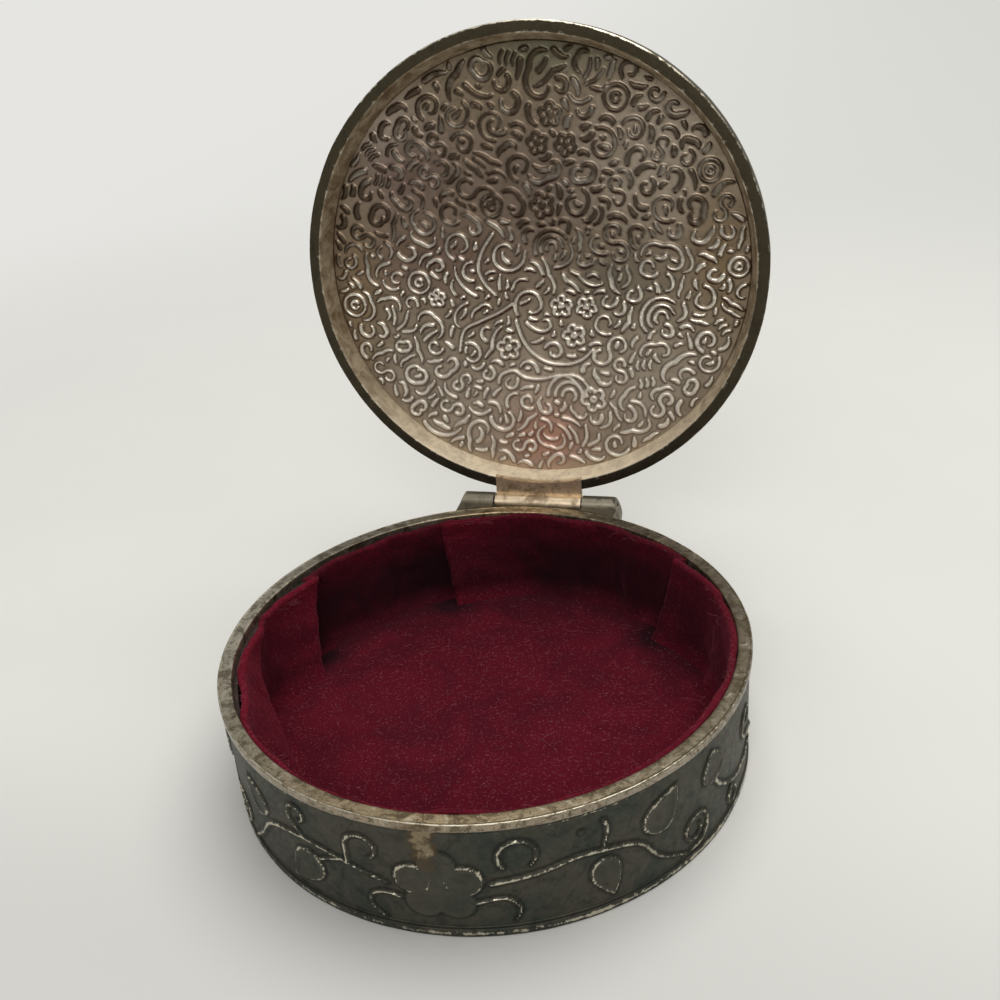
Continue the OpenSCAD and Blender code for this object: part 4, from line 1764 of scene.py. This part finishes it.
        # Painted light: the ridges are bright in the lower half and brown in the upper half, and
        # the dark beside them, patina, is deepened in the lower half as painted shadow.
        painted_ridge_light = 1 - ease(y + 2.5 * np.sin(x / 7), -5, 10)
        paint(piece, "relief", raised)
        paint(piece, "hollow", dark * (0.4 + 0.6 * painted_ridge_light))
        paint(piece, "painted_ridge_light", painted_ridge_light)
        paint(piece, "bloom", ease(-y, 4, 23))
        paint_colour(piece, "tint", self.tint(x, y))
        emboss(piece, "brocade", raised, self.height * MM)
        ruffle(piece, "sheet_waves", self.wave_size * MM, self.wave_height * MM)
        self._close(piece)
        put_corners(piece, turned(corners(piece), self.layout.open_turn))
        hand_over(piece, material, Body.LID, Slot.BROCADE, "lid_brocade_sheet")

    def _close(self, piece: bpy.types.Object) -> None:
        """Gives the sheet its edge and its plain back.

        Args:
            piece: The sheet.
        """
        activate(piece)
        bpy.ops.object.mode_set(mode="EDIT")
        bpy.ops.mesh.select_mode(type="EDGE")
        bpy.ops.mesh.select_all(action="DESELECT")
        bpy.ops.mesh.select_non_manifold()
        bpy.ops.mesh.extrude_region_move(
            TRANSFORM_OT_translate={"value": (0, 0, self.thick * MM)})
        bpy.ops.mesh.edge_face_add()
        bpy.ops.object.mode_set(mode="OBJECT")


# ------------------------------------------------------------------------------ the lining


@dataclass(frozen=True)
class Pleat:
    """One pleat of the wall lining, in degrees from +X and millimetres."""

    top: float
    foot: float
    before: float
    after: float
    high: float
    low: float
    lean: float = 0

    def push(self, a: Points, level: Points) -> tuple[Points, Points]:
        """How the pleat moves the cloth.

        Args:
            a: Angles of the cloth before.
            level: Height of each point, from 0 at the foot to 1 at the top.

        Returns:
            The turn to add in degrees, and the way inwards in millimetres.
        """
        off = (a - self.foot - (self.top - self.foot) * level + 180) % 360 - 180
        t = np.clip(off / np.where(off < 0, self.before, self.after), -1, 1)
        bump = np.cos(t * math.pi / 2) ** 2
        depth = self.low + (self.high - self.low) * ease(level, 0.1, 0.95)
        return self.lean * bump, depth * bump


@dataclass
class Lining:
    """Velvet strip round the wall and the padded velvet floor.

    Tables along the strip hold pairs of an angle from +X in degrees and a value there: the height
    of its top edge, how far it hangs loose, and its painted light and shade, low where it lies in
    shade.
    """

    layout: Layout
    steps: int = 720
    thick: float = 0.5
    hem: float = 1.1
    foot: float = 2.6
    fold_r: float = 0.34
    pad_steps: int = 240
    pad_round: float = 0.7
    pad_crown: float = 0.5
    top_line: tuple[tuple[float, float], ...] = (
        (0, 18.1), (15, 18.3), (60, 18.35), (95, 18.35), (112, 18.35), (122, 18.0), (150, 18.1),
        (163, 18.2), (172, 17.9), (186, 17.5), (203, 17.3), (214, 17.6), (245, 17.8), (285, 18.0),
        (330, 18.2), (360, 18.1))
    slack: tuple[tuple[float, float], ...] = (
        (0, -0.2), (105, -0.2), (116, 0.2), (150, 0.4), (166, 0.5), (178, 0.0), (194, -0.3),
        (201, -0.2), (207, 0.9), (212, 0.9), (219, -0.2), (235, -0.2), (360, -0.2))
    pleats: tuple[Pleat, ...] = (
        Pleat(108, 106, 14, 5, 1.0, 2.8, 8), Pleat(165, 176, 5, 14, 1.1, 4.0, -7),
        Pleat(187, 218, 10, 24, 0.6, 4.6, -4), Pleat(37, 40, 16, 5, 0.7, 2.6, 6),
        Pleat(57, 58, 7, 7, 0.4, 0.9, 2), Pleat(334, 338, 20, 18, 0.4, 2.8, 0),
        Pleat(282, 284, 12, 8, 0.5, 0.6, -3), Pleat(254, 256, 8, 8, 0.3, 0.8, 3),
        Pleat(18, 17, 9, 9, 0.2, 0.9, 2), Pleat(80, 78, 8, 8, 0.1, 0.7, 2),
        Pleat(138, 141, 9, 9, 0.4, 1.2, -3))
    # Painted light and shade by angle: near 0 in the shaded slits beside pleats and on the back
    # wall, high on the lit flaps.
    nap: tuple[tuple[float, float], ...] = (
        (0, 0.65), (20, 0.6), (38, 0.55), (42, 0.02), (52, 0.12), (70, 0.04), (88, 0.06),
        (97, 0.35), (106, 0.6), (109.5, 0.5), (111, 0.0), (122, 0.04), (135, 0.05), (146, 0.2),
        (151, 0.05), (162, 0.0), (165, 0.7), (170, 0.95), (182, 0.5), (190, 1.0), (222, 1.0),
        (240, 0.7), (300, 0.6), (330, 0.75), (360, 0.6))
    creases: tuple[float, ...] = (46, 116, 161)

    def build(self, material: bpy.types.Material) -> None:
        """Builds and dresses the strip and the floor."""
        self._strip(material)
        self._floor(material)

    def _section(self) -> Points:
        """Draws the strip's section, from its foot up to the fold at its hem.

        Returns:
            Rows of the way inwards from the card and the height.
        """
        top, foot, fold = self.layout.lining_top - self.thick / 2, self.foot, self.fold_r
        rise = np.linspace(0, 1, 34)[:, None]
        side = np.array([0.5, foot]) + rise * np.array([-0.3, top - fold - foot])
        side[:, 0] += 0.14 * ease(side[:, 1], top - self.hem - 0.9, top - self.hem - 0.2)
        side[:, 0] += 1.7 * np.clip(1 - (side[:, 1] - foot) / 3.6, 0, 1) ** 2
        return np.concatenate([side[:-1], arc([0.0, top - fold], fold, 0, 150)])

    def _strip(self, material: bpy.types.Material) -> None:
        """Lays the strip round the wall with its pleats.

        Args:
            material: Its finish.
        """
        section = self._section()
        rows, n = len(section), self.steps
        a, k = np.meshgrid(np.arange(n) * 360 / n, np.arange(rows), indexing="ij")
        inwards, z = section[k, 0], section[k, 1]
        low, high = section[:, 1].min(), section[:, 1].max()
        level = (z - low) / (high - low)
        turn, push = np.zeros_like(level), np.zeros_like(level)
        for pleat in self.pleats:
            t, p = pleat.push(a, level)
            turn, push = turn + t, push + p
        ripple = 0.16 * np.sin(np.radians(a * 9) + z * 0.5) + 0.1 * np.sin(np.radians(a * 23) - z)
        edge = np.interp(a, *np.transpose(self.top_line)) + 0.12 * np.sin(np.radians(a * 17))
        z = low + level * (edge - self.thick / 2 - low)
        push = push + np.interp(a, *np.transpose(self.slack)) * level ** 2
        radius = self.layout.lining_r - inwards - push - np.maximum(ripple, 0)
        angle = np.radians(a + turn)
        places = np.stack([radius * np.cos(angle), radius * np.sin(angle), z], -1)
        quads = [(i * rows + j, (i + 1) % n * rows + j, (i + 1) % n * rows + j + 1,
                  i * rows + j + 1) for i in range(n) for j in range(rows - 1)]
        piece = new_piece("velvet_strip_pleated", places.reshape(-1, 3) * MM, faces=quads)
        # Painted highlight: the top of the strip and the flaps that face the light get the lighter
        # pile colour.
        soft = 0.8 + 0.1 * np.sin(np.radians(a * 11)) + 0.1 * np.sin(np.radians(a * 29) + 1)
        lit_flaps = 0.6 * hump(a, 206, 20) + 0.4 * hump(a, 168, 6)
        paint(piece, "hem", np.clip(ease(level, 0.55, 1.0) * soft + lit_flaps, 0, 1.2).ravel())
        # Painted light and shade from the table by angle, lighter toward the foot.
        paint(piece, "nap", (np.interp(a, *np.transpose(self.nap))
                             + 0.5 * (1 - ease(level, 0, 0.3))).ravel())
        finish_modifier(piece, "SOLIDIFY", thickness=self.thick * MM, offset=0)
        ruffle(piece, "velvet_dents", 3 * MM, 0.4 * MM)
        ruffle(piece, "velvet_fuzz", 0.7 * MM, 0.24 * MM, 3)
        hand_over(piece, material, Body.BASE, Slot.VELVET, "velvet_wall")

    def _floor(self, material: bpy.types.Material) -> None:
        """Makes the floor pad, crowned over its wadding and tucked in at its edge.

        Args:
            material: Its finish.
        """
        r, top, edge = self.layout.pad_r, self.layout.pad_top, self.pad_round
        low = self.layout.plate_top + 0.05
        t = np.linspace(0, 1, 46)
        profile = np.concatenate([
            np.stack([(r - edge) * t, top - self.pad_crown * t ** 4], 1),
            arc([r - edge, top - self.pad_crown - edge], edge, 84, 0),
            [[r - 0.1, low + 0.2], [r - 0.3, low], [0, low]]])
        piece = spin("velvet_floor_pad", profile * MM, self.pad_steps)
        co = corners(piece) / MM
        (out, around), y = polar(co), co[:, 1]
        # Painted shade: the pad is darker toward its back edge and in the creases by the wall.
        nap = 1 - 0.55 * ease(np.hypot(co[:, 0], y + 4), 27, 37) * ease(y, -6, 18)
        for crease in self.creases:
            nap -= 0.9 * hump(around, crease, 6) * ease(out, 25, 33)
        paint(piece, "hem", np.zeros(len(co)))
        paint(piece, "nap", nap)
        ruffle(piece, "pad_dents", 8 * MM, 0.3 * MM)
        hand_over(piece, material, Body.BASE, Slot.VELVET, "velvet_floor")


@dataclass
class Lint:
    """Short pale fibres on the velvet, longer threads on the pad and tufts along the hem.

    A tuft is an angle, a distance from the middle, a height and a number of fibres, and a thread
    is a place on the pad and a length.
    """

    layout: Layout
    count: int = 1500
    hem_count: int = 320
    thick: float = 0.012
    steps: int = 7
    hem_z: float = 18.2
    tufts: tuple[tuple[float, float, float, int], ...] = (
        (101, 34.6, 18.2, 7), (109, 34.2, 18.2, 7), (172, 32.8, 18.0, 6), (14, 34.6, 17.6, 3),
        (28, 34.6, 18.1, 3), (62, 34.4, 18.1, 3))
    threads: tuple[tuple[float, float, float], ...] = (
        (3, -6, 4.5), (7, -4, 5.5), (11, -3, 4.0), (-12, -2, 3.0), (-2, -16, 3.4), (19, -4, 4.2),
        (-15, 12, 2.6), (14, 9, 2.8))

    def build(self, material: bpy.types.Material) -> None:
        """Scatters the fibres on the pad and along the hem.

        Args:
            material: Their finish.
        """
        rng = np.random.default_rng(SEED + 1)
        points: list[Points] = []
        faces: list[tuple[int, ...]] = []
        top = self.layout.pad_top
        reach = self.layout.pad_r - 2.5
        for _ in range(self.count):
            r, a = reach * math.sqrt(rng.random()), rng.random() * 2 * math.pi
            height = top - 0.5 * (r / (reach + 1.6)) ** 4 + 0.1
            self._fibre(rng, (r * math.cos(a), r * math.sin(a), height),
                        0.25 + rng.exponential(0.4), points, faces)
        for x, y, length in self.threads:
            self._fibre(rng, (x, y, top + 0.05), length, points, faces)
        for _ in range(self.hem_count):
            a = math.radians(rng.uniform(-70, 245))
            r = self.layout.lining_r - 0.2 + rng.normal(0, 0.15)
            self._fibre(rng, (r * math.cos(a), r * math.sin(a), self.hem_z + rng.normal(0, 0.12)),
                        rng.uniform(0.3, 1.1), points, faces)
        for angle, r, z, count in self.tufts:
            for _ in range(count):
                a = math.radians(angle + rng.normal(0, 2.2))
                r0 = r + rng.normal(0, 0.3)
                self._fibre(rng, (r0 * math.cos(a), r0 * math.sin(a), z + rng.normal(0, 0.12)),
                            rng.uniform(1.2, 3.4), points, faces)
        piece = new_piece("velvet_lint", np.concatenate(points) * MM, faces=faces)
        hand_over(piece, material, Body.BASE, Slot.VELVET)

    def _fibre(self, rng: np.random.Generator, start: Sequence[float], length: float,
               points: list[Points], faces: list[tuple[int, ...]]) -> None:
        """Adds one curling fibre as a thin three-sided tube.

        Args:
            rng: Source of chance.
            start: Where it starts.
            length: Its length.
            points: Vertices of all fibres, which it adds to.
            faces: Faces of all fibres, which it adds to.
        """
        steps = self.steps
        heading, curl = rng.random() * 2 * math.pi, rng.normal(0, 1.6)
        line = [np.array(start)]
        for i in range(steps):
            heading += curl / steps + rng.normal(0, 0.25)
            step = length / steps
            line.append(line[-1] + (step * math.cos(heading), step * math.sin(heading),
                                    rng.normal(0, 0.05)))
        base = sum(len(p) for p in points)
        ring = np.array([[0, 0, 1], [0.87, 0, -0.5], [-0.87, 0, -0.5]])
        for i, p in enumerate(line):
            ahead = line[min(i + 1, steps)] - line[max(i - 1, 0)]
            turn = math.atan2(ahead[1], ahead[0])
            side = np.stack([-math.sin(turn) * ring[:, 0], math.cos(turn) * ring[:, 0],
                             ring[:, 2]], 1)
            points.append(p + side * self.thick * (1 - 0.6 * abs(2 * i / steps - 1) ** 2))
        for i in range(steps):
            for j in range(3):
                k = (j + 1) % 3
                faces.append((base + 3 * i + j, base + 3 * i + 3 + j, base + 3 * i + 3 + k,
                              base + 3 * i + k))
        faces.append((base + 2, base + 1, base))
        last = base + 3 * steps
        faces.append((last, last + 1, last + 2))


# ------------------------------------------------------------------------------ the studio


@dataclass(frozen=True)
class Lamp:
    """A round soft lamp: its name, place and aim, its size in metres and its watts."""

    name: str
    place: tuple[float, float, float]
    aim: tuple[float, float, float]
    size: float
    watts: float
    colour: Colour = (1.0, 0.985, 0.965)

    def build(self) -> None:
        """Builds the lamp and turns it to what it lights."""
        data = bpy.data.lights.new(self.name, "AREA")
        data.shape, data.size, data.energy = "DISK", self.size, self.watts
        data.color = self.colour
        lamp = bpy.data.objects.new(self.name, data)
        lamp.location = self.place
        look = Vector(self.aim) - Vector(self.place)
        lamp.rotation_euler = look.to_track_quat("-Z", "Y").to_euler()
        bpy.context.scene.collection.objects.link(lamp)


@dataclass
class Studio:
    """Pale table and backdrop, soft lamps, and the camera at the photograph's angle.

    The camera's distance and the height it aims at are in millimetres, its focal length is in
    pixels of a picture so many pixels wide, and its angles are in degrees.
    """

    table: Colour = shade(222, 222, 217)
    table_grain: Colour = shade(214, 214, 210)
    near: Colour = shade(202, 202, 198)
    left: Colour = shade(230, 229, 225)
    right: Colour = shade(213, 214, 208)
    table_size: float = 12.0
    lamps: tuple[Lamp, ...] = (
        Lamp("lamp_over", (0.15, 0.2, 0.85), (0, 0, 0), 0.8, 5.4),
        Lamp("lamp_front", (0.1, -0.85, 0.75), (0, 0, 0.04), 0.6, 3.6))
    room: tuple[tuple[float, float], ...] = (
        (0.0, 0.1), (0.2, 0.14), (0.34, 0.45), (0.66, 0.45), (0.85, 0.3), (1.0, 0.3))
    azimuth: float = 17.636
    elevation: float = 34.355
    distance: float = 159.442
    aim_height: float = 20.0
    yaw: float = 1.601
    pitch: float = 6.329
    roll: float = 6.078
    focal: float = 1100.574
    picture: float = 1000.0
    sensor: float = 36.0
    clip: tuple[float, float] = (0.01, 20.0)

    def build(self) -> None:
        """Builds the floor, the lights, the sky and the camera."""
        self._floor()
        for lamp in self.lamps:
            lamp.build()
        self._sky()
        self._camera()

    def _floor(self) -> None:
        """Wide pale table; away from the box it shows the plain tone of the backdrop."""
        deselect()
        bpy.ops.mesh.primitive_grid_add(x_subdivisions=24, y_subdivisions=24,
                                        size=self.table_size)
        floor = bpy.context.object
        floor.name = "studio_table"
        bpy.ops.object.shade_smooth()
        s = Shader("pale_table")
        grain = s.noise(40 * MM, 3, 0.5)
        where = s.place()
        split = s.add("SeparateXYZ", {0: where})
        colour = s.coat(self.table, grain, 0.3, 0.7, 0.2, self.table_grain)
        # Painted shadow: the table is darker in front of the box.
        colour = s.coat(colour, split.outputs["Y"], 0.0, -0.05, 0.8, self.near)
        material = s.close(colour, 0.8, Specular_IOR_Level=0.1)
        tone = s.mix(s.ramp(split.outputs["X"], -0.35, 0.35), self.left, self.right)
        path = s.add("LightPath")
        seen = s.math("ADD", path.outputs["Is Camera Ray"], path.outputs["Is Glossy Ray"])
        seen = s.math("ADD", seen, path.outputs["Is Transmission Ray"], clamp=True)
        far = s.ramp(s.add("VectorMath", {0: where}, operation="LENGTH").outputs["Value"],
                     0.14, 0.42)
        glow = s.add("Emission", {"Color": tone, "Strength": 1.0})
        both = s.add("MixShader", {0: s.math("MULTIPLY", far, seen), 1: s.body.outputs[0],
                                   2: glow.outputs[0]})
        s.feed(s.tree.nodes["Material Output"].inputs["Surface"], both.outputs[0])
        dress(floor, material)
        floor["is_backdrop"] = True

    def _sky(self) -> None:
        """Soft room light by height; the camera sees the tones of the far table instead."""
        world = bpy.data.worlds.new("room")
        bpy.context.scene.world = world
        world.use_nodes = True
        world.node_tree.nodes.clear()
        s = Nodes(world.node_tree)
        where = s.add("TexCoord").outputs["Generated"]
        split = s.add("SeparateXYZ", {0: where}).outputs
        light = s.add("ValToRGB", {0: split["Z"]})
        stops = light.color_ramp.elements
        while len(stops) < len(self.room):
            stops.new(0.5)
        for stop, (at, level) in zip(stops, self.room):
            stop.position = at
            stop.color = (level, level * 0.99, level * 0.975, 1)
        tone = s.mix(s.ramp(split["X"], -0.06, 0.06, how="LINEAR"), self.left, self.right)
        room = s.add("Background", {"Color": light.outputs[0]})
        seen = s.add("Background", {"Color": tone})
        path = s.add("LightPath")
        both = s.add("MixShader", {0: path.outputs["Is Camera Ray"], 1: room.outputs[0],
                                   2: seen.outputs[0]})
        s.add("OutputWorld", {"Surface": both.outputs[0]})

    def _camera(self) -> None:
        """Camera found by fitting the rims of the box and of its lid to the photograph."""
        a, e = math.radians(self.azimuth), math.radians(self.elevation)
        back = Vector((math.sin(a) * math.cos(e), -math.cos(a) * math.cos(e), math.sin(e)))
        look = -back
        right = look.cross(Vector((0, 0, 1))).normalized()
        down = look.cross(right)
        p, y, r = (math.radians(v) for v in (self.pitch, self.yaw, self.roll))
        look, down = (look * math.cos(p) - down * math.sin(p),
                      down * math.cos(p) + look * math.sin(p))
        look, right = (look * math.cos(y) + right * math.sin(y),
                       right * math.cos(y) - look * math.sin(y))
        right, down = (right * math.cos(r) + down * math.sin(r),
                       down * math.cos(r) - right * math.sin(r))
        data = bpy.data.cameras.new("camera")
        data.lens, data.sensor_width = self.focal / self.picture * self.sensor, self.sensor
        data.clip_start, data.clip_end = self.clip
        camera = bpy.data.objects.new("camera", data)
        place = (Vector((0, 0, self.aim_height)) + back * self.distance) * MM
        turn = Matrix((right, -down, -look)).transposed().to_4x4()
        camera.matrix_world = Matrix.Translation(place) @ turn
        bpy.context.scene.collection.objects.link(camera)
        bpy.context.scene.camera = camera


# ------------------------------------------------------------------------------ the box


@dataclass
class RosaryBox:
    """The whole box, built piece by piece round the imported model."""

    layout: Layout
    model: dict

    def build(self) -> None:
        """Builds the new pieces and dresses the nodes that stay."""
        BaseRing(self.layout).build(AntiquedSilver().build())
        LidShell(self.layout).build(LidSilver().build())
        BrocadeSheet(self.layout).build(BrocadeSilver().build())
        Lining(self.layout).build(Velvet().build())
        Lint(self.layout).build(Matt("lint_fibre", shade(150, 88, 94), shade(196, 150, 148),
                                     0.4 * MM).build())
        self._dress_nodes()

    def _dress_nodes(self) -> None:
        """Gives each node that stays its own finish."""
        lug = PlainSilver("lug_silver", shade(146, 139, 122), shade(92, 86, 72), 0.44).build()
        finishes = {
            "base_plate": PlainSilver("plate_silver", shade(132, 126, 110), shade(80, 74, 62),
                                      0.42).build(),
            "hinge_lug_left": lug,
            "hinge_lug_right": lug,
            "hinge_pin": PlainSilver("pin_steel_drawn", shade(150, 146, 138), shade(74, 66, 56),
                                     0.3).build(),
            "lid_hinge_leaf": PlainSilver("leaf_silver", shade(228, 209, 180),
                                          shade(118, 98, 72), 0.38).build(),
            # Painted shade: the wall card is coloured dark brown like the shade in the gap between
            # rim and velvet.
            "wall_card": Matt("card_dark_as_shade", shade(50, 41, 37), shade(68, 56, 50)).build(),
            "floor_card": Matt("grey_board", shade(130, 110, 96), shade(158, 138, 118)).build(),
            "floor_wadding": Matt("cotton_wadding", shade(222, 216, 202), shade(240, 236, 226),
                                  0.9 * MM).build()}
        for name, material in finishes.items():
            dress(self.model["nodes"][name], material)
            LOG.info("%s: dressed in %s", name, material.name)


def corner_lists(box: tuple[Vector, Vector]) -> list[list[float]]:
    """A box as plain lists."""
    return [list(corner) for corner in box]


def main(model: dict, before: list[list[float]]) -> None:
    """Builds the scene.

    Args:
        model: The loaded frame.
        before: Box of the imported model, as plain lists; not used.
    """
    logging.basicConfig(level=logging.INFO, format="%(name)s: %(message)s")
    bpy.context.scene.view_settings.view_transform = "Standard"
    RosaryBox(Layout.read(model), model).build()
    Studio().build()


if __name__ == "__main__":
    main(frame, corner_lists(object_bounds()))
